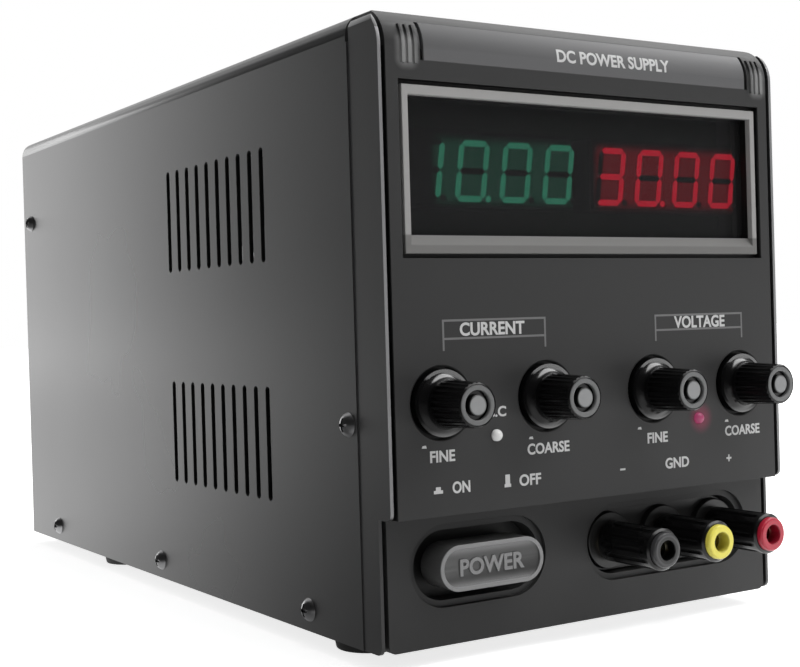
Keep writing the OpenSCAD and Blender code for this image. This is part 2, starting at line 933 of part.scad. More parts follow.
// Half section of a knob: radius across, height outwards from the panel face
module knob_section() {
    grip_r = grip_dia / 2;
    tip_r = grip_tip_dia / 2;
    foot = -(dish_d - knob_float);
    edge = 0.4;
    // The hollow meets the skirt and the grip at a small angle, not at a tangent
    shift = 0.05;
    translate([0, foot]) square([skirt_dia / 2, skirt_rim - foot]);
    difference() {
        translate([0, skirt_rim - edge]) square([grip_r + skirt_cove, skirt_cove + edge]);
        translate([grip_r + skirt_cove - shift, skirt_rim + skirt_cove - shift]) circle(skirt_cove);
    }
    polygon([
        [0, foot],
        [grip_r, foot],
        [grip_r, skirt_rim + skirt_cove],
        [tip_r, knob_out - edge],
        [tip_r - edge, knob_out],
        [0, knob_out]
    ]);
}

module knob(x) {
    foot = -(dish_d - knob_float);
    hollow = pot_nut_t - dish_d + knob_float;
    flute_at = grip_tip_dia / 2 + flute_r * 0.6;
    flute_foot = skirt_rim + skirt_cove + 0.5;
    color("black") turned_out(x, knob_v) difference() {
        rotate_extrude() knob_section();
        translate([0, 0, foot - over]) cylinder(d = pot_nut_w / cos(30) + 1.1, h = hollow - foot + over);
        translate([0, 0, foot - over]) cylinder(d = shaft_dia + 2 * run_gap, h = knob_bore_l - foot + over);
        translate([0, 0, knob_out - cap_t]) cylinder(d = cap_dia + 0.1, h = cap_t + over);
        for (i = [0:flute_count - 1]) {
            rotate(i * 360 / flute_count) translate([flute_at, 0, flute_foot]) {
                cylinder(r = flute_r, h = knob_out, $fn = 16);
            }
        }
    }
}

// The light ring and the light centre that are let into the end of a knob
module knob_cap(x) {
    color("darkgray") turned_out(x, knob_v) translate([0, 0, knob_out - cap_t]) {
        difference() {
            cylinder(d = cap_dia, h = cap_t);
            translate([0, 0, -over]) cylinder(d = cap_dia - 2 * cap_ring, h = cap_t + 2 * over);
        }
        cylinder(d = cap_dot_dia, h = cap_t);
    }
}

module pot(x) {
    bush_out = pot_nut_t - dish_d + 0.2;
    color("silver") difference() {
        union() {
            drill_y(x, knob_v, pot_dia, pad_d, control_board_d);
            drill_y(x, knob_v, bush_dia, -bush_out, pad_d + eps);
        }
        drill_y(x, knob_v, shaft_dia + 2 * run_gap, -bush_out - over, pad_d + shaft_in + knob_float);
    }
}

// A split shaft: the saw cut lets the knob push on
module shaft(x) {
    color("silver") difference() {
        drill_y(x, knob_v, shaft_dia, -shaft_out, pad_d + shaft_in);
        box_at(x - shaft_cut_w / 2, x + shaft_cut_w / 2, -shaft_out - over, -shaft_out + shaft_cut_l,
               knob_v - shaft_dia, knob_v + shaft_dia);
    }
}

module pot_nuts() {
    color("silver") for (x = knob_places) {
        slab_y(dish_d - pot_nut_t, dish_d) translate([x, knob_v]) difference() {
            hex(pot_nut_w);
            circle(d = bush_dia);
        }
    }
}

module power_button() {
    front = -button_out;
    dish_r = 26;
    color("dimgray") difference() {
        union() {
            slab_y(front, front + button_l) translate([switch_x, well_v]) stadium(button_w, button_h);
            slab_y(front + button_l - eps, stem_back_d) translate([switch_x, well_v]) {
                square([stem_w, stem_h], center = true);
            }
        }
        intersection() {
            slab_y(front - over, front + button_dish) translate([switch_x, well_v]) {
                stadium(button_w - 2 * button_rim, button_h - 2 * button_rim);
            }
            at(switch_x - button_w, front + button_dish - dish_r, well_v) rotate([0, 90, 0]) {
                cylinder(r = dish_r, h = 2 * button_w, $fn = 96);
            }
        }
        slab_y(stem_back_d - plunger_grip, stem_back_d + over) translate([switch_x, well_v]) {
            square([plunger_w + 0.1, plunger_h + 0.1], center = true);
        }
    }
}

module switch_plunger() {
    front = stem_back_d - plunger_grip + 0.05;
    color("white") slab_y(front, stem_back_d + plunger_l) translate([switch_x, well_v]) {
        square([plunger_w, plunger_h], center = true);
    }
}

module power_switch() {
    seat = floor_d + floor_t;
    back = seat + switch_l;
    color("black") difference() {
        union() {
            slab_y(seat, seat + 1.5) translate([switch_x, well_v]) {
                rounded(switch_w + 2 * switch_ear, switch_h - 1, 2);
            }
            slab_y(seat, back) translate([switch_x, well_v]) square([switch_w, switch_h], center = true);
            for (sx = [-1, 1]) {
                for (sv = [-1, 1]) {
                    slab_y(back - eps, back + switch_tab_l) {
                        translate([switch_x + sx * switch_tab_x, well_v + sv * switch_tab_v]) {
                            square([switch_tab_w, switch_tab_t], center = true);
                        }
                    }
                }
            }
        }
        slab_y(seat - over, stem_back_d + button_travel / 2) translate([switch_x, well_v]) {
            square([stem_w + 1, stem_h + 1], center = true);
        }
        slab_y(seat - over, stem_back_d + plunger_l + 2) translate([switch_x, well_v]) {
            square([plunger_w + 0.4, plunger_h + 0.4], center = true);
        }
    }
}

module terminal_plate() {
    w = post_well_w - 2 * well_ledge - 2 * plate_gap;
    h = well_h - 2 * well_ledge - 2 * plate_gap;
    color("black") difference() {
        union() {
            slab_y(floor_d - plate_t, floor_d) translate([post_x, well_v]) stadium(w, h);
            post_holes(collar_dia, collar_d, floor_d);
        }
        post_holes(stud_dia + 0.4, collar_d - over, floor_d + over);
    }
}

// Threaded stud with a plug socket in its end, a cross hole for bare wire and a washer face
module binding_post(x) {
    color("goldenrod") difference() {
        union() {
            drill_y(x, well_v, stud_dia, stud_front_d, stud_back_d);
            drill_y(x, well_v, stud_dia + 2 * stud_flange, washer_d, collar_d);
        }
        drill_y(x, well_v, socket_dia, stud_front_d - over, stud_front_d + socket_l);
        at(x, washer_d - 1.2, well_v - stud_dia) cylinder(d = cross_hole_dia, h = 2 * stud_dia);
    }
}

module post_cap(x) {
    cap_r = cap_body_dia / 2;
    flutes = 12;
    flute = 0.8;
    color("black") difference() {
        union() {
            drill_y(x, well_v, cap_body_dia, cap_front_d + 0.5, cap_back_d);
            turned_in(x, well_v) translate([0, 0, cap_front_d]) cylinder(r1 = cap_r - 0.5, r2 = cap_r, h = 0.5);
        }
        drill_y(x, well_v, ring_dia + 2 * run_gap, cap_front_d - over, ring_seat_d);
        drill_y(x, well_v, stud_dia + 2 * run_gap, ring_seat_d - over, cap_back_d + over);
        for (i = [0:flutes - 1]) {
            turned_in(x, well_v) rotate(i * 360 / flutes) translate([cap_r + flute / 2, 0, cap_front_d + 2]) {
                cylinder(r = flute, h = cap_back_d - cap_front_d - 5, $fn = 24);
            }
        }
    }
}

module post_ring(x) {
    ring_back = -post_out + ring_l;
    difference() {
        union() {
            drill_y(x, well_v, ring_dia, -post_out + 0.4, ring_back);
            turned_in(x, well_v) translate([0, 0, -post_out]) {
                cylinder(d1 = ring_dia - 0.8, d2 = ring_dia, h = 0.4);
            }
        }
        drill_y(x, well_v, ring_hole, -post_out - over, ring_back + over);
    }
}

module post_nuts() {
    seat = floor_d + floor_t;
    color("goldenrod") for (i = [-1:1]) {
        x = post_x + i * post_pitch;
        difference() {
            union() {
                drill_y(x, well_v, nut_w + 2.5, seat, seat + 0.8);
                slab_y(seat + 0.8 - eps, seat + 4.8) translate([x, well_v]) hex(nut_w);
            }
            drill_y(x, well_v, stud_dia, seat - over, seat + 6);
        }
    }
}

module fan_figure() {
    translate([0, fan_v]) difference() {
        rounded(fan_size, fan_size, 4);
        for (sx = [-1, 1]) {
            for (sz = [-1, 1]) {
                translate([sx * fan_pitch / 2, sz * fan_pitch / 2]) circle(d = fan_screw_hole);
            }
        }
    }
}

module fan_frame() {
    bearing_front = fan_d1 - strut_t - bearing_l;
    color("black") difference() {
        union() {
            difference() {
                union() {
                    slab_y(fan_d0, fan_d0 + fan_flange_t) fan_figure();
                    slab_y(fan_d1 - fan_flange_t, fan_d1) fan_figure();
                    drill_y(0, fan_v, duct_wall_dia, fan_d0, fan_d1);
                }
                drill_y(0, fan_v, duct_dia, fan_d0 - over, fan_d1 + over);
            }
            for (a = [0, 90]) {
                slab_y(fan_d1 - strut_t, fan_d1) translate([0, fan_v]) rotate(a) {
                    square([duct_dia + 1, strut_w], center = true);
                }
            }
            drill_y(0, fan_v, hub_dia, fan_d1 - strut_t, fan_d1);
            drill_y(0, fan_v, bearing_dia, bearing_front, fan_d1 - strut_t + eps);
            drill_y(0, fan_v, motor_dia, fan_d1 - strut_t - motor_l, fan_d1 - strut_t + eps);
        }
        drill_y(0, fan_v, axle_dia + 2 * run_gap, bearing_front - over, fan_d1 - 0.8);
    }
}

// One cambered blade, cut from a curved shell that runs outwards from the hub
module blade() {
    reach = duct_dia / 2 - 1;
    half_w = 8.5;
    half_l = 7;
    camber_r = 20;
    camber_at = [-10.6, 12.9];
    half_t = 0.7;
    intersection() {
        rotate([90, 0, 90]) linear_extrude(reach + over) {
            intersection() {
                square([2 * half_w, 2 * half_l], center = true);
                translate(camber_at) difference() {
                    circle(r = camber_r + half_t, $fn = 96);
                    circle(r = camber_r - half_t, $fn = 96);
                }
            }
        }
        difference() {
            translate([0, 0, -half_l]) cylinder(r = reach, h = 2 * half_l, $fn = 96);
            translate([0, 0, -half_l - over]) cylinder(d = hub_dia - 1, h = 2 * half_l + 2 * over);
        }
    }
}

module fan_rotor() {
    hub_front = fan_d0 + 1.5;
    hub_back = fan_d1 - strut_t - 1;
    color("dimgray") {
        difference() {
            drill_y(0, fan_v, hub_dia, hub_front, hub_back);
            drill_y(0, fan_v, hub_dia - 4, hub_front + 2, hub_back + over);
        }
        drill_y(0, fan_v, axle_dia, hub_front + 1, fan_d1 - 1);
        for (i = [0:blade_count - 1]) {
            turned_in(0, fan_v) rotate(i * 360 / blade_count) {
                translate([0, 0, (hub_front + hub_back) / 2]) blade();
            }
        }
    }
}

// Wire rings welded onto crossed wires that end in screw eyes
module fan_guard() {
    corner_r = fan_pitch / sqrt(2);
    wire_start = guard_inner_r - wire_dia / 2 + 0.2;
    wire_d = rear_d + wire_dia / 2;
    ring_d = wire_d + wire_dia - 0.15;
    color("silver") {
        for (i = [0:guard_rings - 1]) {
            r = guard_inner_r + i * (guard_outer_r - guard_inner_r) / (guard_rings - 1);
            turned_in(0, fan_v) translate([0, 0, ring_d]) rotate_extrude() {
                translate([r, 0]) circle(d = wire_dia, $fn = 16);
            }
        }
        for (i = [0:3]) {
            turned_in(0, fan_v) rotate(45 + i * 90) translate([0, 0, wire_d]) {
                translate([wire_start, 0, 0]) rotate([0, 90, 0]) {
                    cylinder(d = wire_dia, h = corner_r - guard_eye_r - wire_start, $fn = 16);
                }
                translate([corner_r, 0, 0]) rotate_extrude() {
                    translate([guard_eye_r, 0]) circle(d = wire_dia, $fn = 16);
                }
            }
        }
    }
}

// Outline of the inlet's socket: two corners are cut off on the earth side
module socket_outline() {
    w = socket_w / 2;
    h = socket_h / 2;
    polygon([
        [-w, -h],
        [w, -h],
        [w, h - socket_cut],
        [w - socket_cut, h],
        [-w + socket_cut, h],
        [-w, h - socket_cut]
    ]);
}

module pin_places() {
    translate([-pin_spread, -pin_drop]) children();
    translate([pin_spread, -pin_drop]) children();
    translate([0, pin_drop]) children();
}

module mains_inlet() {
    color("black") difference() {
        union() {
            slab_y(rear_d, rear_d + inlet_flange_t) translate([inlet_x, inlet_v]) {
                rounded(inlet_flange_w, inlet_flange_h, 2);
            }
            slab_y(rear_d - inlet_depth, rear_d + eps) translate([inlet_x, inlet_v]) {
                square([inlet_body_w, inlet_body_h], center = true);
            }
        }
        slab_y(rear_d - socket_depth, rear_d + 3 * over) translate([inlet_x, socket_v]) socket_outline();
        slab_y(rear_d - inlet_depth - over, rear_d) translate([inlet_x, socket_v]) pin_places() {
            square([pin_w, pin_h], center = true);
        }
        slab_y(rear_d - drawer_l - 0.5, rear_d + 3 * over) translate([inlet_x, drawer_v]) {
            square([drawer_w + 2 * drawer_gap, drawer_h + 2 * drawer_gap], center = true);
        }
        slab_y(rear_d + 0.8, rear_d + 3 * over) translate([inlet_x, drawer_v]) {
            square([drawer_w + 2 * (drawer_lip + drawer_gap), drawer_h + 2 * (drawer_lip_v + drawer_gap)],
                   center = true);
        }
    }
}

module inlet_pins() {
    color("goldenrod") slab_y(rear_d - inlet_depth - pin_tail, rear_d - pin_in) {
        translate([inlet_x, socket_v]) pin_places() square([pin_w, pin_h], center = true);
    }
}

module fuse_drawer() {
    color("black") difference() {
        union() {
            slab_y(rear_d - drawer_l, rear_d + 0.9) translate([inlet_x, drawer_v]) {
                square([drawer_w, drawer_h], center = true);
            }
            slab_y(rear_d + 0.8 + eps, rear_d + inlet_flange_t + 0.4) translate([inlet_x, drawer_v]) {
                square([drawer_w + 2 * drawer_lip, drawer_h + 2 * drawer_lip_v], center = true);
            }
        }
        box_at(inlet_x - fuse_l / 2 - fuse_gap, inlet_x + fuse_l / 2 + fuse_gap,
               fuse_d - fuse_dia / 2 - 2 * fuse_gap, fuse_d + fuse_dia / 2 + 2 * fuse_gap,
               drawer_v - drawer_h / 2 + fuse_floor, drawer_v + drawer_h);
        slab_y(rear_d + inlet_flange_t - 0.4, rear_d + 3 * over) translate([inlet_x, drawer_v]) {
            square([10, 1.2], center = true);
        }
    }
}

module fuse() {
    v = drawer_v - drawer_h / 2 + fuse_floor + fuse_dia / 2;
    color("silver") at(inlet_x - fuse_l / 2, fuse_d, v) rotate([0, 90, 0]) {
        cylinder(d = fuse_dia, h = fuse_cap_l);
        translate([0, 0, fuse_l - fuse_cap_l]) cylinder(d = fuse_dia, h = fuse_cap_l);
        cylinder(d = fuse_dia - 0.6, h = fuse_l);
    }
}

module voltage_selector() {
    slide_l = slider_w + selector_travel + 2 * slider_gap;
    color("black") difference() {
        union() {
            slab_y(rear_d, rear_d + selector_plate_t) translate([selector_x, selector_v]) {
                rounded(selector_w + 2 * selector_plate_edge, selector_h + 2 * selector_plate_edge, 1.5);
            }
            slab_y(rear_d - selector_depth, rear_d + eps) translate([selector_x, selector_v]) {
                square([selector_w, selector_h], center = true);
            }
        }
        slab_y(rear_d - slider_depth, rear_d + 3 * over) translate([selector_x, selector_v]) {
            square([slide_l, slider_h + 2 * slider_gap], center = true);
        }
    }
}

module selector_slider() {
    x = selector_x - selector_travel / 2;
    color("red") difference() {
        slab_y(rear_d - slider_depth, rear_d + slider_out) translate([x, selector_v]) {
            square([slider_w, slider_h], center = true);
        }
        slab_y(rear_d - 0.4, rear_d + 3 * over) translate([x, selector_v]) {
            square([1.2, slider_h + over], center = true);
        }
    }
}

module main_board() {
    v = sheet_t + pillar_h;
    color("darkgreen") box_at(-main_w / 2, main_w / 2, main_front_d, main_front_d + main_l, v, v + board_t);
}

// An extruded sink: a back plate with fins, standing on the board
module heatsink(x, side, d0) {
    back = x + side * sink_plate;
    top_v = board_top_v + sink_h;
    box_at(min(x, back), max(x, back), d0, d0 + sink_l, board_top_v, top_v);
    for (i = [0:sink_fins - 1]) {
        d = d0 + i * (sink_l - sink_fin_t) / (sink_fins - 1);
        tip = x + side * (sink_plate + sink_fin_l);
        root = x + side * (sink_plate - eps);
        box_at(min(root, tip), max(root, tip), d, d + sink_fin_t, board_top_v, top_v);
    }
}

module heatsinks() {
    color("silver") {
        heatsink(-main_w / 2 + sink_edge, 1, left_sink_d);
        heatsink(main_w / 2 - sink_edge, -1, right_sink_d);
    }
}

module bulk_capacitors() {
    color("navy") for (s = [-1, 1]) {
        at(s * can_x, main_front_d + main_l - can_back, board_top_v) {
            cylinder(d = can_dia, h = can_h - 1);
            cylinder(d = can_dia - 2, h = can_h);
        }
    }
}

// Two E halves around a wound bobbin
module transformer() {
    low = board_top_v + core_stand;
    high = low + core_h;
    inside_x = core_w / 2 - core_limb;
    color("saddlebrown") {
        difference() {
            box_at(-core_w / 2, core_w / 2, core_d - core_t / 2, core_d + core_t / 2, low, high);
            box_at(-inside_x, inside_x, core_d - core_t, core_d + core_t, low + core_limb, high - core_limb);
        }
        at(0, core_d, low + core_limb - over) cylinder(d = coil_dia, h = core_h - 2 * core_limb + 2 * over);
        at(0, core_d, board_top_v) cylinder(d = bobbin_dia, h = core_stand + core_limb);
    }
}

module output_choke() {
    stand = choke_ring_r + choke_core_r + 0.75 * choke_wire;
    color("peru") at(0, choke_d, board_top_v + stand) rotate([90, 0, 0]) {
        rotate_extrude() translate([choke_ring_r, 0]) circle(choke_core_r);
        for (i = [0:choke_turns - 1]) {
            rotate(i * 360 / choke_turns) translate([choke_ring_r, 0, 0]) rotate([90, 0, 0]) {
                rotate_extrude() translate([choke_core_r, 0]) circle(d = choke_wire, $fn = 16);
            }
        }
    }
}

module foot_places() {
    for (s = [-1, 1]) {
        for (d = [foot_front_d, foot_rear_d]) {
            at(s * (body_w / 2 - foot_inset), d, -foot_h) children();
        }
    }
}

module feet() {
    color("black") foot_places() difference() {
        cylinder(d1 = foot_dia - 2, d2 = foot_dia, h = foot_h);
        translate([0, 0, -over]) cylinder(d = screw_head + 1, h = over + foot_h / 2);
        cylinder(d = screw_dia + 0.4, h = foot_h + over);
    }
}

// A pan-head screw along +Z with its head above the seat and its shank below
module pan_screw(head, shank, l) {
    ball = (pow(head / 2, 2) + pow(screw_head_h, 2)) / (2 * screw_head_h);
    difference() {
        intersection() {
            translate([0, 0, screw_head_h - ball]) sphere(ball);
            cylinder(d = head + over, h = screw_head_h + over);
        }
        for (a = [0, 90]) {
            rotate(a) translate([-head * 0.28, -0.4, screw_head_h - 1]) cube([head * 0.56, 0.8, 2]);
        }
    }
    translate([0, 0, -l]) cylinder(d = shank, h = l + eps);
}

module case_screws() {
    color("silver") {
        for (s = [0, 1]) {
            mirror([s, 0, 0]) {
                for (p = side_points) {
                    inset = p[0] < seam_d ? seam_in : 0;
                    at(body_w / 2 - inset, p[0], p[1]) rotate([0, 90, 0]) pan_screw(screw_head, screw_dia, 5);
                }
                turned_in(panel_boss_x, panel_boss_v) translate([0, 0, ear_d + sheet_t]) {
                    pan_screw(screw_head, screw_dia - 0.4, 8);
                }
            }
        }
        for (sx = [-1, 1]) {
            for (sz = [-1, 1]) {
                turned_in(sx * fan_pitch / 2, fan_v + sz * fan_pitch / 2) {
                    translate([0, 0, rear_d + wire_dia]) pan_screw(guard_screw, guard_shank, 8);
                }
            }
        }
        foot_places() translate([0, 0, foot_h / 2]) rotate([180, 0, 0]) {
            pan_screw(screw_head, screw_dia, foot_h / 2 + 3);
        }
    }
}

top_cover();
base_chassis();
rear_panel();
front_panel();
header_strip();
display_frame();
display_window();
current_readout();
voltage_readout();
display_board();
control_board();
cc_lamp();
cv_lamp();
for (i = [0:3]) {
    knob(knob_places[i]);
    knob_cap(knob_places[i]);
    pot(knob_places[i]);
    shaft(knob_places[i]);
}
pot_nuts();
power_button();
power_switch();
switch_plunger();
for (i = [0:2]) {
    x = post_x + (i - 1) * post_pitch;
    binding_post(x);
    post_cap(x);
    color(ring_colours[i]) post_ring(x);
}
terminal_plate();
post_nuts();
fan_frame();
fan_rotor();
fan_guard();
mains_inlet();
inlet_pins();
fuse_drawer();
fuse();
voltage_selector();
selector_slider();
main_board();
heatsinks();
bulk_capacitors();
transformer();
output_choke();
feet();
case_screws();
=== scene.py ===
"""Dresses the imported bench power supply: finishes, display digits, printed lettering and a plain studio."""

import math

import bmesh
import bpy
from bpy.props import (
    BoolProperty,
    FloatProperty,
    FloatVectorProperty,
    IntProperty,
    PointerProperty,
    StringProperty,
)
from bpy.types import Operator, Panel, PropertyGroup
from mathutils import Euler, Matrix, Vector


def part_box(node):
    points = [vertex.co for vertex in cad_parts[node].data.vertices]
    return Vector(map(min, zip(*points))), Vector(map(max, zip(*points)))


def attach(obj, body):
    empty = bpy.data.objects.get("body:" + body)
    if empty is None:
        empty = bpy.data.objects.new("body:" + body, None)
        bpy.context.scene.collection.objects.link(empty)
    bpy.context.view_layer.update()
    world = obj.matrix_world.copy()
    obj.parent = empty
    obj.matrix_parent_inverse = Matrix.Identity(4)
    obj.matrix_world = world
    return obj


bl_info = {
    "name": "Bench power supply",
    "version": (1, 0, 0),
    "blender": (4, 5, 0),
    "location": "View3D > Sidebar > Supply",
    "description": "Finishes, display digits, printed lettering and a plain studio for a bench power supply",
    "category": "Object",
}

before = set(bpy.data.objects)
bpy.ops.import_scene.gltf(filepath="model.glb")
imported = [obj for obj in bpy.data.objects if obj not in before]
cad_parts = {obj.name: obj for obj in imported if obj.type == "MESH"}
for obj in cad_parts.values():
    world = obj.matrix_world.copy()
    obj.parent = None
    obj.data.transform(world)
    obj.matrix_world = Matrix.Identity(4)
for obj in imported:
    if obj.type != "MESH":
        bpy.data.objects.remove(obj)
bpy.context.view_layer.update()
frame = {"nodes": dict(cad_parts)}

MM = 0.001
CONTROLS = ("current_fine", "current_coarse", "voltage_fine", "voltage_coarse")
POSTS = ("negative", "ground", "positive")

# Places that come from the frame
COVER_LOW, COVER_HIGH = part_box("top_cover")
FACE_Y = COVER_LOW.y
CASE_BOTTOM = COVER_LOW.z

# Measures of the moulded front
BROW_RADIUS = 10.0 * MM
STEP_DEPTH = 5.6 * MM
STEP_HEIGHT = 32.5 * MM
# How much slower the painted shade darkens the moulding below the step, where the wells have light lips
LIP_EASING = 10.0
# Depths below the field between which painted shade turns the moulding dark
DARK_START = 0.25 * MM
DARK_END = 0.75 * MM
# Upward tilt of a face between which a ledge, lit from above, is left out of the painted shade
LEDGE_START = 0.2
LEDGE_END = 0.7


def centre_of(node):
    low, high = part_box(node)
    return (low + high) / 2


def on_face(across, up):
    """A point on the upper front field, in millimetres across from the middle and up from the case bottom."""
    return Vector((across * MM, FACE_Y, CASE_BOTTOM + up * MM))


# Sizes and colours that a user may change


def colour(name, text, value):
    return FloatVectorProperty(
        name=name, description=text, subtype="COLOR", size=3, min=0.0, max=1.0, default=value
    )


def length(name, text, value, high=1.0):
    return FloatProperty(
        name=name, description=text, unit="LENGTH", min=0.0, max=high, default=value, precision=5
    )


def share(name, text, value, high=1.0):
    return FloatProperty(name=name, description=text, subtype="FACTOR", min=0.0, max=high, default=value)


def number(name, text, value, low=0.0):
    return FloatProperty(name=name, description=text, min=low, default=value)


def angle(name, text, degrees):
    return FloatProperty(name=name, description=text, subtype="ANGLE", default=math.radians(degrees))


def wording(name, text, value):
    return StringProperty(name=name, description=text, default=value)


class SupplyColours(PropertyGroup):
    """Colours of the finishes and of the painted shade and highlights, in linear light."""

    case: colour("Case paint", "Powder coat of cover, tray and rear panel", (0.030, 0.030, 0.0308))
    # Painted highlight on the sheet's bare cut front edge
    sheet_edge_highlight: colour("Sheet edge", "Cut edge of the painted sheet", (0.24, 0.24, 0.245))
    panel: colour("Front panel", "Moulded plastic of the front", (0.035, 0.035, 0.0353))
    # Painted shade in the wells, dishes and grooves of the front and on the cut walls of the case's slots
    recess_shade: colour("Recess", "Bottoms of the wells, dishes and grooves of the front", (0.006, 0.006, 0.006))
    # Painted highlight over the ribs beside the header strip
    rib_highlight: colour("Ribs", "Field of the ribs beside the header strip", (0.25, 0.25, 0.25))
    strip: colour("Header strip", "Smooth strip along the brow", (0.125, 0.125, 0.128))
    frame: colour("Display frame", "Light frame around the display", (0.36, 0.355, 0.35))
    # Painted shade on the bar at the foot of the display frame
    sill_shade: colour("Display sill", "Bar at the foot of the display frame", (0.19, 0.188, 0.183))
    window: colour("Window", "Smoked acrylic in front of the readouts", (0.12, 0.12, 0.123))
    readout_face: colour("Readout face", "Black face around the figures", (0.010, 0.010, 0.010))
    knob: colour("Knob", "Body of the knobs and of the post caps", (0.0035, 0.0035, 0.0037))
    knob_ring: colour("Knob ring", "Ring in the end of a knob", (0.150, 0.152, 0.153))
    knob_dot: colour("Knob dot", "Dot in the end of a knob", (0.28, 0.284, 0.287))
    button: colour("Button", "Power button", (0.070, 0.070, 0.070))
    # Painted highlight on the rim of the power button; the raised word takes the same colour
    button_rim_highlight: colour("Button rim", "Rim and raised word of the power button", (0.26, 0.26, 0.262))
    print: colour("Print", "Printed lettering", (0.62, 0.62, 0.62))
    lines: colour("Printed lines", "Brackets around the headings", (0.17, 0.17, 0.171))
    green_digits: colour("Green digits", "Light of the current readout", (0.040, 0.28, 0.165))
    red_digits: colour("Red digits", "Light of the voltage readout", (0.76, 0.012, 0.040))
    yellow: colour("Yellow ring", "Ring of the ground post", (0.92, 0.82, 0.12))
    red: colour("Red ring", "Ring of the positive post", (0.50, 0.018, 0.045))
    black_ring: colour("Black ring", "Ring of the negative post", (0.05, 0.05, 0.052))
    lit_lamp: colour("Lit lamp", "Light of the lamp for constant voltage", (0.20, 0.030, 0.075))
    lamp_glow: colour("Lamp glow", "Glow on the panel around the lit lamp", (0.11, 0.005, 0.026))
    floor: colour("Floor", "Pale studio floor", (0.86, 0.86, 0.86))


class SupplySizes(PropertyGroup):
    """Sizes of what is added to the frame."""

    digit_height: length("Digit height", "Height of a display digit", 15.3 * MM)
    digit_width: length("Digit width", "Width of a display digit", 9.3 * MM)
    digit_stroke: length("Digit stroke", "Width of a lit segment", 1.55 * MM)
    digit_pitch: length("Digit pitch", "Distance from one digit to the next", 13.55 * MM)
    digit_shift: length("Digit shift", "How far the digits stand to the right of the middle", 0.8 * MM)
    digit_drop: length("Digit drop", "How far the digits stand below the middle", 0.45 * MM)
    digit_slant: angle("Digit slant", "Lean of the digits", 8.0)
    print_thickness: length("Print thickness", "How far the print stands out", 0.04 * MM)
    line_width: length("Line width", "Width of the printed lines", 0.52 * MM)
    edge_radius: length("Edge radius", "Radius on the edges of the sheet", 0.35 * MM)
    panel_radius: length("Panel radius", "Radius on the edges of the moulded front", 0.3 * MM)


class SupplyStudio(PropertyGroup):
    """Camera, lamps and the brightness of the studio."""

    camera_place: FloatVectorProperty(
        name="Camera place", description="Where the camera stands", subtype="TRANSLATION", size=3,
        precision=5, default=(-0.2344, -0.40218, 0.08423),
    )
    lens: number("Lens", "Focal length in millimetres", 62.15, 1.0)
    yaw: angle("Yaw", "Turn to the right", 32.358)
    pitch: angle("Pitch", "Tilt upwards", -0.563)
    roll: angle("Roll", "Turn about the view", -1.646)
    top_light: share("Top lamp", "Radiance of the lamp overhead", 3.2, 20.0)
    side_light: share("Side lamp", "Radiance of the lamp behind on the left", 1.7, 20.0)
    front_light: share("Front lamp", "Radiance of the lamp in front on the right", 1.2, 20.0)
    fill: share("Fill", "Light that comes from all around", 0.30, 2.0)
    dark_side: share("Dark side", "How bright the studio looks in reflections towards its front", 0.04, 1.0)
    floor_glow: share("Floor glow", "Brightness that the floor adds of its own near the object", 0.77, 1.0)
    floor_ahead: share("Floor ahead", "How bright the floor in front looks in reflections", 0.8, 3.0)
    floor_behind: share("Floor behind", "How bright the floor behind looks in reflections", 1.8, 3.0)
    clear_start: length("Clear start", "Distance at which the floor starts to turn plain white", 0.28, 10.0)
    clear_end: length("Clear end", "Distance at which the floor is plain white", 0.75, 10.0)


# Shader nodes


def feed(tree, socket, value):
    """Links a node's output to a socket, or sets the socket's own value."""
    if isinstance(value, bpy.types.NodeSocket):
        tree.links.new(value, socket)
    else:
        socket.default_value = value


def coordinates(tree, kind="Object"):
    return tree.nodes.new("ShaderNodeTexCoord").outputs[kind]


def add_math(tree, operation, *values, clamp=False):
    node = tree.nodes.new("ShaderNodeMath")
    node.operation = operation
    node.use_clamp = clamp
    for socket, value in zip(node.inputs, values):
        feed(tree, socket, value)
    return node.outputs[0]


def add_vector_math(tree, operation, *values):
    """The outputs of a vector sum: Vector, or Value where it gives one number."""
    node = tree.nodes.new("ShaderNodeVectorMath")
    node.operation = operation
    for socket, value in zip(node.inputs, values):
        feed(tree, socket, value)
    return node.outputs


def add_noise(tree, vector, scale, detail=2.0, roughness=0.5):
    node = tree.nodes.new("ShaderNodeTexNoise")
    for name, value in (("Vector", vector), ("Scale", scale), ("Detail", detail), ("Roughness", roughness)):
        feed(tree, node.inputs[name], value)
    return node.outputs["Fac"]


def add_ramp(tree, value, start, end):
    """Zero before the start, one after the end, smooth between them."""
    node = tree.nodes.new("ShaderNodeMapRange")
    node.interpolation_type = "SMOOTHSTEP"
    for name, limit in (("Value", value), ("From Min", start), ("From Max", end)):
        feed(tree, node.inputs[name], limit)
    return node.outputs["Result"]


def add_split(tree, vector):
    """The X, Y and Z of a vector."""
    node = tree.nodes.new("ShaderNodeSeparateXYZ")
    tree.links.new(vector, node.inputs[0])
    return node.outputs


def add_mix(tree, share_of_second, first, second):
    """One colour laid over another by a mask."""
    node = tree.nodes.new("ShaderNodeMix")
    node.data_type = "RGBA"
    tree.links.new(share_of_second, node.inputs["Factor"])
    for name, value in (("A", first), ("B", second)):
        from_node = isinstance(value, bpy.types.NodeSocket)
        feed(tree, node.inputs[name], value if from_node else (*value, 1.0))
    return node.outputs["Result"]


def shade(tree, base, amount):
    """The base colour made lighter and darker by a factor around one."""
    node = tree.nodes.new("ShaderNodeVectorMath")
    node.operation = "SCALE"
    tree.links.new(base, node.inputs[0])
    tree.links.new(amount, node.inputs["Scale"])
    return node.outputs[0]


# Shader node groups

SKIN_OUTPUTS = (("Color", "NodeSocketColor"), ("Roughness", "NodeSocketFloat"), ("Height", "NodeSocketFloat"))
DUST_TINT = (0.42, 0.41, 0.39)


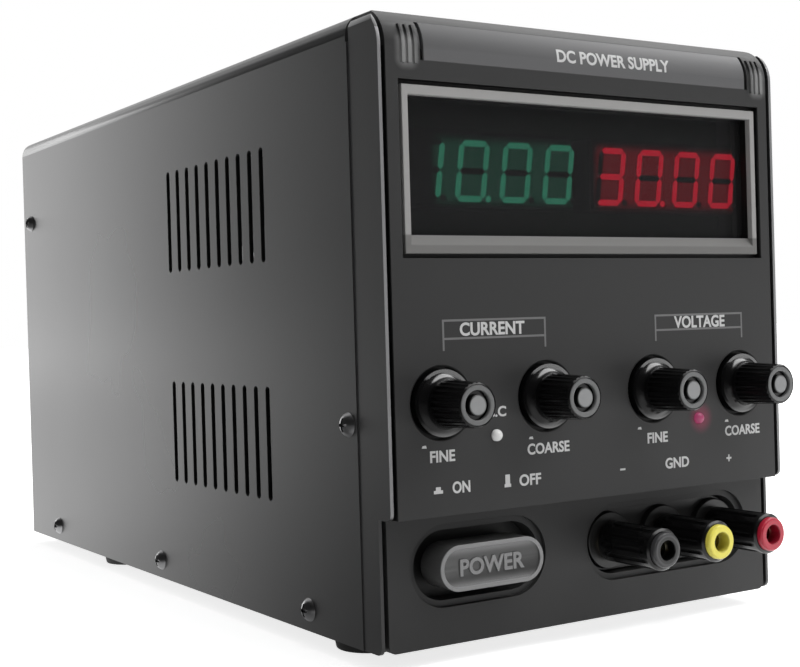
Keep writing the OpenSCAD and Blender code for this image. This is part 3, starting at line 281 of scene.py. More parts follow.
def make_group(name, inputs, outputs):
    group = bpy.data.node_groups.new(name, "ShaderNodeTree")
    for label, kind, value in inputs:
        socket = group.interface.new_socket(name=label, in_out="INPUT", socket_type=kind)
        socket.default_value = value
    for label, kind in outputs:
        group.interface.new_socket(name=label, in_out="OUTPUT", socket_type=kind)
    source = group.nodes.new("NodeGroupInput")
    sink = group.nodes.new("NodeGroupOutput")
    return group, source, sink


def put_out_skin(group, source, sink, tone, wear, height):
    """Varies the colour by a tone and the roughness by the wear, both of which swing around one half."""
    swing = add_math(group, "MULTIPLY", add_math(group, "SUBTRACT", tone, 0.5), source.outputs["Mottle"])
    tint = shade(group, source.outputs["Color"], add_math(group, "ADD", swing, 1.0))
    change = add_math(group, "MULTIPLY", add_math(group, "SUBTRACT", wear, 0.5), source.outputs["Spread"])
    rough = add_math(group, "ADD", change, source.outputs["Roughness"], clamp=True)
    for name, value in (("Color", tint), ("Roughness", rough), ("Height", height)):
        group.links.new(value, sink.inputs[name])


def grain_group():
    """Fine grain with broad cloudiness, for paint, moulded plastic, rubber and cast parts."""
    group, source, sink = make_group(
        "Fine grain",
        (
            ("Color", "NodeSocketColor", (0.5, 0.5, 0.5, 1.0)),
            ("Grain size", "NodeSocketFloat", 0.4),
            ("Cloud size", "NodeSocketFloat", 40.0),
            ("Mottle", "NodeSocketFloat", 0.1),
            ("Roughness", "NodeSocketFloat", 0.5),
            ("Spread", "NodeSocketFloat", 0.1),
        ),
        SKIN_OUTPUTS,
    )
    place = coordinates(group)
    grains_per_metre = add_math(group, "DIVIDE", 1.0 / MM, source.outputs["Grain size"])
    clouds_per_metre = add_math(group, "DIVIDE", 1.0 / MM, source.outputs["Cloud size"])
    grain = add_noise(group, place, grains_per_metre, roughness=0.6)
    cloud = add_noise(group, place, clouds_per_metre, detail=3.0, roughness=0.55)
    grain_share = 0.6
    fine = add_math(group, "MULTIPLY", grain, grain_share)
    broad = add_math(group, "MULTIPLY", cloud, 1.0 - grain_share)
    put_out_skin(group, source, sink, add_math(group, "ADD", fine, broad), cloud, grain)
    return group


def brushed_group():
    """Long scratches along one axis, for drawn wire, turned brass and sheet metal."""
    group, source, sink = make_group(
        "Brushed metal",
        (
            ("Color", "NodeSocketColor", (0.6, 0.6, 0.6, 1.0)),
            ("Across", "NodeSocketVector", (1.0, 1.0, 1.0)),
            ("Mottle", "NodeSocketFloat", 0.2),
            ("Roughness", "NodeSocketFloat", 0.3),
            ("Spread", "NodeSocketFloat", 0.2),
        ),
        SKIN_OUTPUTS,
    )
    place = coordinates(group)
    stretched = add_vector_math(group, "MULTIPLY", place, source.outputs["Across"])["Vector"]
    streak = add_noise(group, stretched, scale=1.0, detail=3.0, roughness=0.6)
    cloud = add_noise(group, place, scale=60.0)
    wear = add_math(group, "MULTIPLY", add_math(group, "ADD", streak, cloud), 0.5)
    put_out_skin(group, source, sink, streak, wear, streak)
    return group


def dust_group():
    """A thin film of dust on what faces upwards, laid over a colour and a roughness."""
    group, source, sink = make_group(
        "Settled dust",
        (
            ("Color", "NodeSocketColor", (0.5, 0.5, 0.5, 1.0)),
            ("Roughness", "NodeSocketFloat", 0.5),
            ("Amount", "NodeSocketFloat", 0.05),
            ("Least", "NodeSocketFloat", 0.15),
            ("Added roughness", "NodeSocketFloat", 0.6),
        ),
        (("Color", "NodeSocketColor"), ("Roughness", "NodeSocketFloat")),
    )
    tilt = add_split(group, coordinates(group, "Normal"))["Z"]
    upward = add_math(group, "MAXIMUM", tilt, source.outputs["Least"])
    cloud = add_noise(group, coordinates(group), scale=35.0, detail=5.0, roughness=0.65)
    film = add_math(group, "MULTIPLY", upward, cloud)
    veil = add_math(group, "MULTIPLY", film, source.outputs["Amount"], clamp=True)
    group.links.new(add_mix(group, veil, source.outputs["Color"], DUST_TINT), sink.inputs["Color"])
    dull = add_math(group, "MULTIPLY", veil, source.outputs["Added roughness"])
    rough = add_math(group, "ADD", source.outputs["Roughness"], dull, clamp=True)
    group.links.new(rough, sink.inputs["Roughness"])
    return group


def patch_group():
    """A box with a soft edge: one inside it, zero beyond the fade."""
    group, source, sink = make_group(
        "Soft patch",
        (
            ("Centre", "NodeSocketVector", (0.0, 0.0, 0.0)),
            ("Half size", "NodeSocketVector", (0.01, 0.01, 0.01)),
            ("Fade", "NodeSocketFloat", 0.002),
        ),
        (("Mask", "NodeSocketFloat"),),
    )
    apart = add_vector_math(group, "SUBTRACT", coordinates(group), source.outputs["Centre"])["Vector"]
    distance = add_vector_math(group, "ABSOLUTE", apart)["Vector"]
    beyond = add_vector_math(group, "SUBTRACT", distance, source.outputs["Half size"])["Vector"]
    outside = add_vector_math(group, "MAXIMUM", beyond, (0.0, 0.0, 0.0))["Vector"]
    reach = add_vector_math(group, "LENGTH", outside)["Value"]
    covered = add_ramp(group, reach, 0.0, source.outputs["Fade"])
    group.links.new(add_math(group, "SUBTRACT", 1.0, covered), sink.inputs["Mask"])
    return group


def axis_group():
    """Distance from an axis that runs front to back through a point."""
    group, source, sink = make_group(
        "Axis distance",
        (("Centre", "NodeSocketVector", (0.0, 0.0, 0.0)),),
        (("Distance", "NodeSocketFloat"),),
    )
    apart = add_vector_math(group, "SUBTRACT", coordinates(group), source.outputs["Centre"])["Vector"]
    flat = add_vector_math(group, "MULTIPLY", apart, (1.0, 0.0, 1.0))["Vector"]
    group.links.new(add_vector_math(group, "LENGTH", flat)["Value"], sink.inputs["Distance"])
    return group


def facing_group():
    """One on faces that look along a direction, for the painted highlight and shade on the cut edges of
    sheet.
    """
    group, source, sink = make_group(
        "Facing",
        (
            ("Direction", "NodeSocketVector", (0.0, -1.0, 0.0)),
            ("Start", "NodeSocketFloat", 0.7),
            ("End", "NodeSocketFloat", 0.98),
        ),
        (("Mask", "NodeSocketFloat"),),
    )
    normal = coordinates(group, "Normal")
    along = add_vector_math(group, "DOT_PRODUCT", normal, source.outputs["Direction"])["Value"]
    mask = add_ramp(group, along, source.outputs["Start"], source.outputs["End"])
    group.links.new(mask, sink.inputs["Mask"])
    return group


def recess_shade_group():
    """Mask of the painted shade: what lies below the two fields of the moulded front, without its ledges."""
    group, source, sink = make_group(
        "Recess shade",
        (
            ("Face", "NodeSocketFloat", FACE_Y),
            ("Brow axis", "NodeSocketFloat", COVER_HIGH.z - BROW_RADIUS),
            ("Step", "NodeSocketFloat", CASE_BOTTOM + STEP_HEIGHT),
        ),
        (("Recessed", "NodeSocketFloat"),),
    )
    place = add_split(group, coordinates(group))
    depth = add_math(group, "SUBTRACT", place["Y"], source.outputs["Face"])
    below_step = add_math(group, "LESS_THAN", place["Z"], source.outputs["Step"])
    field = add_math(group, "MULTIPLY", below_step, STEP_DEPTH)
    easing = add_math(group, "MULTIPLY_ADD", below_step, LIP_EASING, 1.0)
    below_field = add_math(group, "DIVIDE", add_math(group, "SUBTRACT", depth, field), easing)
    sunk = add_ramp(group, below_field, DARK_START, DARK_END)
    tilt = add_split(group, coordinates(group, "Normal"))["Z"]
    not_ledge = add_math(group, "SUBTRACT", 1.0, add_ramp(group, tilt, LEDGE_START, LEDGE_END))
    sunk = add_math(group, "MULTIPLY", sunk, not_ledge)
    under_brow = add_math(group, "LESS_THAN", place["Z"], source.outputs["Brow axis"])
    group.links.new(add_math(group, "MULTIPLY", sunk, under_brow), sink.inputs["Recessed"])
    return group


GROUP_MAKERS = {
    "Fine grain": grain_group,
    "Brushed metal": brushed_group,
    "Settled dust": dust_group,
    "Soft patch": patch_group,
    "Axis distance": axis_group,
    "Facing": facing_group,
    "Recess shade": recess_shade_group,
}


def placed_group(tree, name, **values):
    """Places a group, which is made once, and sets the inputs that are named."""
    node = tree.nodes.new("ShaderNodeGroup")
    node.node_tree = bpy.data.node_groups.get(name) or GROUP_MAKERS[name]()
    for label, value in values.items():
        feed(tree, node.inputs[label.capitalize().replace("_", " ")], value)
    return node


def distance_from(tree, centre):
    return placed_group(tree, "Axis distance", centre=centre).outputs["Distance"]


def soft_patch(tree, centre, half_size, fade):
    return placed_group(tree, "Soft patch", centre=centre, half_size=half_size, fade=fade).outputs["Mask"]


# Materials

# Bare metals: colour, roughness, and scratches per metre on each axis
METALS = {
    "blackened_screw": ((0.24, 0.24, 0.244), 0.30, (700.0, 700.0, 700.0)),
    "zinc_plate": ((0.58, 0.58, 0.57), 0.34, (500.0, 500.0, 500.0)),
    "turned_aluminium": ((0.70, 0.70, 0.71), 0.28, (1500.0, 120.0, 1500.0)),
    "turned_brass": ((0.80, 0.72, 0.52), 0.22, (1500.0, 200.0, 1500.0)),
    "plated_wire": ((0.50, 0.50, 0.51), 0.30, (400.0, 400.0, 400.0)),
    "plated_pin": ((0.78, 0.76, 0.70), 0.2, (1500.0, 150.0, 1500.0)),
    "fuse_cap": ((0.74, 0.72, 0.68), 0.25, (300.0, 900.0, 900.0)),
    "extruded_aluminium": ((0.66, 0.67, 0.68), 0.36, (600.0, 600.0, 40.0)),
    "enamelled_copper": ((0.62, 0.24, 0.09), 0.30, (500.0, 500.0, 500.0)),
}
# Plain plastics, rubber and wound parts: colour and the settings of the fine grain
PLAIN = {
    "soft_rubber": {
        "base": (0.02, 0.02, 0.02), "roughness": 0.75, "grain": 0.3, "relief": 0.03, "dust": 0.12,
    },
    "unlit_segment": {"base": (0.012, 0.012, 0.011), "grain": 0.4, "relief": 0.002},
    "milky_lamp": {
        "base": (0.88, 0.88, 0.87), "roughness": 0.22, "grain": 0.8, "relief": 0.003, "mottle": 0.05,
    },
    "black_nylon": {"base": (0.014, 0.014, 0.014), "grain": 0.3, "relief": 0.015},
    "white_nylon": {"base": (0.62, 0.61, 0.58), "grain": 0.4, "relief": 0.01},
    "plate_plastic": {"base": (0.012, 0.012, 0.012), "roughness": 0.38, "grain": 0.3, "relief": 0.01},
    "fan_moulding": {
        "base": (0.016, 0.016, 0.017), "roughness": 0.48, "grain": 0.35, "relief": 0.012, "dust": 0.10,
    },
    "inlet_plastic": {"base": (0.014, 0.014, 0.014), "roughness": 0.40, "grain": 0.3, "relief": 0.008},
    "red_slider": {"base": (0.45, 0.02, 0.02), "roughness": 0.38, "grain": 0.3, "relief": 0.006},
    "capacitor_sleeve": {"base": (0.010, 0.016, 0.045), "roughness": 0.28, "grain": 0.6, "relief": 0.004},
    "wound_ferrite": {"base": (0.16, 0.085, 0.02), "roughness": 0.45, "grain": 0.8, "relief": 0.05},
}


def blank_material(name):
    material = bpy.data.materials.new(name)
    material.use_nodes = True
    tree = material.node_tree
    tree.nodes.clear()
    shader = tree.nodes.new("ShaderNodeBsdfPrincipled")
    output = tree.nodes.new("ShaderNodeOutputMaterial")
    tree.links.new(shader.outputs["BSDF"], output.inputs["Surface"])
    return material, tree, shader


def add_bump(tree, shader, height, strength, depth_mm):
    bump = tree.nodes.new("ShaderNodeBump")
    bump.inputs["Strength"].default_value = strength
    bump.inputs["Distance"].default_value = depth_mm * MM
    tree.links.new(height, bump.inputs["Height"])
    tree.links.new(bump.outputs["Normal"], shader.inputs["Normal"])


def add_glow(tree, shader, light, strength=1.0):
    tree.links.new(light, shader.inputs["Emission Color"])
    shader.inputs["Emission Strength"].default_value = strength


def link_skin(tree, shader, tint, rough):
    tree.links.new(tint, shader.inputs["Base Color"])
    tree.links.new(rough, shader.inputs["Roughness"])


def grained(
    name, base, roughness=0.5, spread=0.12, grain=0.35, relief=0.02, mottle=0.15, cloud=40.0,
    dust=0.0, specular=0.5, overlay=None,
):
    """Paint or moulded plastic with a fine grain; lengths are in millimetres.

    An overlay is a function of the node tree and the tint that gives back the tint with masks laid on.
    """
    material, tree, shader = blank_material(name)
    skin = placed_group(
        tree, "Fine grain", color=(*base, 1.0), grain_size=grain, cloud_size=cloud, mottle=mottle,
        roughness=roughness, spread=spread,
    )
    tint, rough = skin.outputs["Color"], skin.outputs["Roughness"]
    if overlay:
        tint = overlay(tree, tint)
    if dust:
        film = placed_group(tree, "Settled dust", color=tint, roughness=rough, amount=dust)
        tint, rough = film.outputs["Color"], film.outputs["Roughness"]
    link_skin(tree, shader, tint, rough)
    shader.inputs["Specular IOR Level"].default_value = specular
    add_bump(tree, shader, skin.outputs["Height"], strength=0.6, depth_mm=relief)
    return material


def plain(name):
    return grained(name, **PLAIN[name])


def metal(name):
    """Bare metal with drawn or turned scratches."""
    base, roughness, across = METALS[name]
    material, tree, shader = blank_material(name)
    skin = placed_group(
        tree, "Brushed metal", color=(*base, 1.0), across=across, mottle=0.25, roughness=roughness, spread=0.2
    )
    link_skin(tree, shader, skin.outputs["Color"], skin.outputs["Roughness"])
    shader.inputs["Metallic"].default_value = 1.0
    add_bump(tree, shader, skin.outputs["Height"], strength=0.5, depth_mm=0.004)
    return material


def window_acrylic(tint):
    """Smoked acrylic with faint smears in its gloss."""
    material, tree, shader = blank_material("smoked_acrylic")
    skin = placed_group(
        tree, "Fine grain", color=(*tint, 1.0), grain_size=6.0, cloud_size=30.0, mottle=0.06,
        roughness=0.06, spread=0.08,
    )
    link_skin(tree, shader, skin.outputs["Color"], skin.outputs["Roughness"])
    shader.inputs["Transmission Weight"].default_value = 0.88
    shader.inputs["IOR"].default_value = 1.35
    return material


def lit_segment(name, base, strength):
    """A lit segment: brighter in the middle of its cells than between them."""
    material, tree, shader = blank_material(name)
    skin = placed_group(
        tree, "Fine grain", color=(*base, 1.0), grain_size=1.6, cloud_size=5.0, mottle=0.7, roughness=0.4
    )
    link_skin(tree, shader, skin.outputs["Color"], skin.outputs["Roughness"])
    add_glow(tree, shader, skin.outputs["Color"], strength)
    return material


def circuit_board():
    """Green solder mask over copper tracks."""
    material, tree, shader = blank_material("circuit_board")
    tracks = tree.nodes.new("ShaderNodeTexBrick")
    tree.links.new(coordinates(tree), tracks.inputs["Vector"])
    tracks.inputs["Scale"].default_value = 120.0
    tracks.inputs["Mortar Size"].default_value = 0.05
    tracks.inputs["Color1"].default_value = (0.012, 0.085, 0.030, 1.0)
    tracks.inputs["Color2"].default_value = (0.016, 0.105, 0.038, 1.0)
    tracks.inputs["Mortar"].default_value = (0.045, 0.20, 0.075, 1.0)
    tree.links.new(tracks.outputs["Color"], shader.inputs["Base Color"])
    shader.inputs["Roughness"].default_value = 0.35
    add_bump(tree, shader, tracks.outputs["Fac"], strength=0.4, depth_mm=0.04)
    return material


# Shapes

# Radius of the small rounds on the edges of the CAD nodes, in millimetres
ROUNDS = {
    "feet": 0.4,
    "header_strip": 0.12,
    "display_frame": 0.22,
    "display_window": 0.15,
    "current_readout": 0.2,
    "voltage_readout": 0.2,
    "power_button": 0.45,
    "power_switch": 0.3,
    "terminal_plate": 0.3,
    "mains_inlet": 0.3,
    "fuse_drawer": 0.3,
    "voltage_selector": 0.3,
    "inlet_pins": 0.25,
    "selector_slider": 0.2,
    "heatsinks": 0.2,
    "bulk_capacitors": 0.4,
    "transformer": 0.4,
    **{name + "_cap": 0.3 for name in CONTROLS},
    **{name + "_cap": 0.25 for name in POSTS},
    **{name + "_ring": 0.45 for name in POSTS},
}
ROUND_SEGMENTS = 3
SHARP_EDGE = math.radians(32.0)
FLAT_EDGE = math.radians(0.4)
SAME_POINT = 0.001 * MM
# Printed letters, in units of the font's size
LETTER_STEPS = 4
LETTER_DEPTH = 0.01
LETTER_WEIGHT = 0.028


def assign(piece, material):
    for place in piece.material_slots:
        place.material = material
    if not piece.material_slots:
        piece.data.materials.append(material)


def finish_nodes(names, material, radius=0.0):
    """Gives CAD nodes a material and, with a radius given here or in the table, small rounds."""
    for name in names:
        piece = frame["nodes"][name]
        assign(piece, material)
        rounding = radius or ROUNDS.get(name, 0.0) * MM
        if rounding:
            round_edges(piece, rounding)


def round_edges(piece, radius):
    join = piece.modifiers.new("join_faces", "WELD")
    join.merge_threshold = SAME_POINT
    flat = piece.modifiers.new("flat_faces", "DECIMATE")
    flat.decimate_type = "DISSOLVE"
    flat.angle_limit = FLAT_EDGE
    edge = piece.modifiers.new("edge_radius", "BEVEL")
    edge.width = radius
    edge.segments = ROUND_SEGMENTS
    edge.limit_method = "ANGLE"
    edge.angle_limit = SHARP_EDGE
    edge.harden_normals = True
    edge.miter_outer = "MITER_SHARP"


def new_piece(name, mesh, material, body):
    piece = bpy.data.objects.new(name, mesh)
    bpy.context.scene.collection.objects.link(piece)
    assign(piece, material)
    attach(piece, body)


def plate_from_outlines(name, outlines, depth):
    """A mesh of flat closed outlines in X and Z that reach from Y = 0 out to -depth."""
    mesh = bpy.data.meshes.new(name)
    shape = bmesh.new()
    for outline in outlines:
        back = [shape.verts.new((x, 0.0, z)) for x, z in outline]
        front = [shape.verts.new((x, -depth, z)) for x, z in outline]
        shape.faces.new(front)
        shape.faces.new(list(reversed(back)))
        count = len(outline)
        for i in range(count):
            after = (i + 1) % count
            shape.faces.new((back[i], back[after], front[after], front[i]))
    bmesh.ops.recalc_face_normals(shape, faces=shape.faces)
    shape.to_mesh(mesh)
    shape.free()
    return mesh


def bar(x0, z0, x1, z1):
    return [(x0, z0), (x1, z0), (x1, z1), (x0, z1)]


def letters_mesh(words, height, width, thickness):
    """Letters centred on the origin in X and Z, from Y = 0 out to -thickness.

    A width of zero keeps the letters' own proportions.
    """
    text = bpy.data.curves.new("letters", "FONT")
    text.body = words
    text.align_x = "CENTER"
    text.resolution_u = LETTER_STEPS
    text.extrude = LETTER_DEPTH
    text.offset = LETTER_WEIGHT
    holder = bpy.data.objects.new("letters", text)
    bpy.context.scene.collection.objects.link(holder)
    view = bpy.context.evaluated_depsgraph_get()
    mesh = bpy.data.meshes.new_from_object(holder.evaluated_get(view))
    bpy.data.objects.remove(holder)
    bpy.data.curves.remove(text)
    low = Vector([min(v.co[i] for v in mesh.vertices) for i in range(3)])
    high = Vector([max(v.co[i] for v in mesh.vertices) for i in range(3)])
    size = high - low
    middle = (low + high) / 2
    across = (width or height * size.x / size.y) / size.x
    for vertex in mesh.vertices:
        spot = vertex.co - middle
        depth = -thickness if spot.z > 0 else 0.0
        vertex.co = Vector((spot.x * across, depth, spot.y * height / size.y))
    mesh.flip_normals()
    return mesh


def moved(mesh, offset):
    mesh.transform(Matrix.Translation(offset))
    return mesh


# Operators


class SUPPLY_OT_case(Operator):
    """Paint the cover, the tray and the rear panel and finish screws and feet"""

    bl_idname = "supply.case"
    bl_label = "Case"

    # The front rim of the cut edges takes a painted highlight, the slots' walls painted shade
    rim_depth: length("Rim depth", "How far behind its front edge the cut sheet is bare", 1.0 * MM)
    slots_start: length("Slots start", "Distance behind the front from which cut edges are dark", 20.0 * MM)

    def execute(self, context):
        colours = context.scene.supply_colours
        sizes = context.scene.supply_sizes

        # Painted highlight on the cut front edges, over their bare colour, and painted shade on the cut walls
        # of the slots
        def edge_highlight_and_slot_shade(tree, tint):
            mask = placed_group(tree, "Facing").outputs["Mask"]
            back = add_split(tree, coordinates(tree))["Y"]
            rim = add_math(tree, "LESS_THAN", back, FACE_Y + self.rim_depth)
            in_slots = add_math(tree, "GREATER_THAN", back, FACE_Y + self.slots_start)
            edge = add_mix(tree, rim, add_mix(tree, in_slots, tint, colours.recess_shade), colours.sheet_edge_highlight)
            return add_mix(tree, mask, tint, edge)

        paint = grained(
            "powder_coat", colours.case, roughness=0.28, spread=0.06, grain=1.3, relief=0.012,
            mottle=0.06, cloud=90.0, dust=0.03, overlay=edge_highlight_and_slot_shade,
        )
        finish_nodes(("top_cover", "base_chassis", "rear_panel"), paint, sizes.edge_radius)
        finish_nodes(("case_screws",), metal("blackened_screw"))
        finish_nodes(("feet",), plain("soft_rubber"))
        return {"FINISHED"}


class SUPPLY_OT_front(Operator):
    """Finish the moulded front, its header strip and the display frame, with painted shade and a painted
    highlight
    """

    bl_idname = "supply.front"
    bl_label = "Front"

    # Height and fade of the painted shade on the sill
    sill_height: length("Sill height", "Height of the darker bar at the foot of the display frame", 4.2 * MM)
    sill_fade: length("Sill fade", "Height over which the bar's tint ends", 0.6 * MM)
    # The next four place the soft patch of the painted highlight over the ribs
    rib_reach: length("Rib reach", "Half the width of the even light field around the ribs", 0.9 * MM)
    rib_rise: length("Rib rise", "Half the height of the even light field around the ribs", 2.0 * MM)
    rib_fade: length("Rib fade", "Width of the soft edge of the light field around the ribs", 3.0 * MM)
    rib_side: length("Rib side", "Distance from the end of the strip to the middle of its ribs", 4.7 * MM)
    glow_core: length("Glow core", "Radius of the even part of the lamp's glow", 1.2 * MM)
    glow_reach: length("Glow reach", "Radius at which the lamp's glow ends", 4.9 * MM)
    glow_shift: length("Glow shift", "How far the glow lies to the right of the lamp", 0.9 * MM)

    def execute(self, context):
        colours = context.scene.supply_colours
        sizes = context.scene.supply_sizes

        strip_low, strip_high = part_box("header_strip")
        middle_z = strip_low.z + self.rib_rise
        half = Vector((self.rib_reach, BROW_RADIUS, self.rib_rise))

        def recess_shade_and_rib_highlight(tree, tint):
            recessed = placed_group(tree, "Recess shade").outputs["Recessed"]
            # Painted shade darkens what lies below the fields of the front
            tint = add_mix(tree, recessed, tint, colours.recess_shade)
            # Painted highlight over the ribs at both ends of the strip
            for x in (strip_low.x - self.rib_side, strip_high.x + self.rib_side):
                mask = soft_patch(tree, (x, FACE_Y, middle_z), half, self.rib_fade)
                tint = add_mix(tree, mask, tint, colours.rib_highlight)
            return tint

        moulded = grained(
            "moulded_front", colours.panel, roughness=0.50, spread=0.08, grain=0.28, relief=0.02,
            mottle=0.10, cloud=60.0, dust=0.03, specular=0.32, overlay=recess_shade_and_rib_highlight,
        )
        self.glow_of_lamp(moulded, colours)
        finish_nodes(("front_panel",), moulded, sizes.panel_radius)
        strip = grained(
            "smooth_strip", colours.strip, roughness=0.50, spread=0.06, grain=0.5, relief=0.004,
            mottle=0.05, dust=0.03, specular=0.3,
        )
        finish_nodes(("header_strip",), strip)
        low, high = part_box("display_frame")

        # Painted shade: the sill's bar is darkened up to the sill height
        def painted_sill_shade(tree, tint):
            foot = ((low.x + high.x) / 2, low.y, low.z)
            reach = (high.x - low.x, high.y - low.y, self.sill_height)
            mask = soft_patch(tree, foot, reach, self.sill_fade)
            return add_mix(tree, mask, tint, colours.sill_shade)

        light = grained(
            "frame_paint", colours.frame, roughness=0.5, spread=0.08, grain=0.4, relief=0.006, mottle=0.06,
            specular=0.15, overlay=painted_sill_shade,
        )
        finish_nodes(("display_frame",), light)
        return {"FINISHED"}

    def glow_of_lamp(self, material, colours):
        """Soft light of the lit lamp on the panel around it."""
        tree = material.node_tree
        reach = distance_from(tree, centre_of("cv_lamp") + Vector((self.glow_shift, 0.0, 0.0)))
        faded = add_ramp(tree, reach, self.glow_core, self.glow_reach)
        glow = add_mix(tree, faded, colours.lamp_glow, (0.0, 0.0, 0.0))
        add_glow(tree, tree.nodes["Principled BSDF"], glow)


# Lit segments of each figure, named as on a data sheet: a is the top one, then clockwise, g the middle one
FIGURES = {"0": "abcdef", "1": "bc", "3": "abcdg"}
SEGMENT_DEPTH = 0.1 * MM
# Shares of a segment's width: the gap between two segments, and the radius of a decimal point
SEGMENT_GAP = 0.09
POINT_RADIUS = 0.55
# Distance from a figure to the middle of its decimal point, as a share of the point's radius
POINT_DISTANCE = 1.2
POINT_CORNERS = 16


def segment_outlines(width, height, stroke):
    """Pointed bars of one figure, centred on the origin."""
    gap = stroke * SEGMENT_GAP
    half = stroke / 2
    right = width / 2 - half
    top = height / 2 - half

    def level(z):
        tip = right - gap
        flat = tip - half
        return [(-tip, z), (-flat, z + half), (flat, z + half), (tip, z), (flat, z - half), (-flat, z - half)]

    def upright(x, z0, z1):
        low, high = z0 + gap, z1 - gap
        return [
            (x, low), (x + half, low + half), (x + half, high - half), (x, high),
            (x - half, high - half), (x - half, low + half),
        ]

    return {
        "a": level(top), "b": upright(right, 0.0, top), "c": upright(right, -top, 0.0), "d": level(-top),
        "e": upright(-right, -top, 0.0), "f": upright(-right, 0.0, top), "g": level(0.0),
    }


def readout_figures(sizes, words):
    """Outlines of the lit and the unlit segments of a row of figures."""
    lit, unlit = [], []
    figures = words.replace(".", "")
    point_after = words.index(".") - 1
    lean = math.tan(sizes.digit_slant)
    for place, figure in enumerate(figures):
        shift = (place - (len(figures) - 1) / 2) * sizes.digit_pitch
        bars = segment_outlines(sizes.digit_width, sizes.digit_height, sizes.digit_stroke)
        for name, outline in bars.items():
            leaning = [(x + z * lean + shift, z) for x, z in outline]
            (lit if name in FIGURES[figure] else unlit).append(leaning)
        dot = sizes.digit_stroke * POINT_RADIUS
        x = shift + sizes.digit_width / 2 + POINT_DISTANCE * dot - sizes.digit_height / 2 * lean
        z = -sizes.digit_height / 2 + dot
        turns = [2 * math.pi * i / POINT_CORNERS for i in range(POINT_CORNERS)]
        ring = [(x + dot * math.cos(turn), z + dot * math.sin(turn)) for turn in turns]
        (lit if place == point_after else unlit).append(ring)
    return lit, unlit


class SUPPLY_OT_display(Operator):
    """Finish the window and the readouts and light their figures"""

    bl_idname = "supply.display"
    bl_label = "Display"

    current_words: wording("Current", "Figures of the current readout", "10.00")
    voltage_words: wording("Voltage", "Figures of the voltage readout", "30.00")
    brightness: number("Brightness", "Strength of a lit segment", 4.0)
    halo: number("Halo", "Strength of the glow around the figures", 0.85)
    halo_fade: length("Halo fade", "Width of the soft edge of the glow", 3.4 * MM)
    halo_depth: length("Halo depth", "How far in front of and behind the face the glow reaches", 5.0 * MM)

    def glowing_face(self, name, seat, light, lit, context):
        """Black face of a readout with a soft glow around its figures."""
        colours = context.scene.supply_colours
        sizes = context.scene.supply_sizes
        material, tree, shader = blank_material(name + "_readout_face")
        skin = placed_group(tree, "Fine grain", color=(*colours.readout_face, 1.0), roughness=0.6)
        link_skin(tree, shader, skin.outputs["Color"], skin.outputs["Roughness"])
        low, high = (limit(x for outline in lit for x, z in outline) for limit in (min, max))
        inset = self.halo_fade / 2
        centre = seat + Vector(((low + high) / 2, 0.0, 0.0))
        half = ((high - low) / 2 - inset, self.halo_depth, sizes.digit_height / 2 - inset)
        mask = soft_patch(tree, centre, half, self.halo_fade)
        add_glow(tree, shader, add_mix(tree, mask, (0.0, 0.0, 0.0), [part * self.halo for part in light]))
        return material

    def execute(self, context):
        colours = context.scene.supply_colours
        sizes = context.scene.supply_sizes
        finish_nodes(("display_window",), window_acrylic(colours.window))
        dull = plain("unlit_segment")
        rows = (
            ("current", self.current_words, colours.green_digits, "readout_green"),
            ("voltage", self.voltage_words, colours.red_digits, "readout_red"),
        )
        for name, words, light, slot in rows:
            low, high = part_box(name + "_readout")
            seat = Vector((
                (low.x + high.x) / 2 + sizes.digit_shift, low.y, (low.z + high.z) / 2 - sizes.digit_drop
            ))
            lit, unlit = readout_figures(sizes, words)
            finish_nodes((name + "_readout",), self.glowing_face(name, seat, light, lit, context))
            glow = lit_segment(name + "_light", light, self.brightness)
            for kind, outlines, material in (("lit", lit, glow), ("unlit", unlit, dull)):
                label = f"{name}_{kind}_segments"
                mesh = plate_from_outlines(label, outlines, SEGMENT_DEPTH)
                new_piece(label, moved(mesh, seat), material, "case")
        return {"FINISHED"}


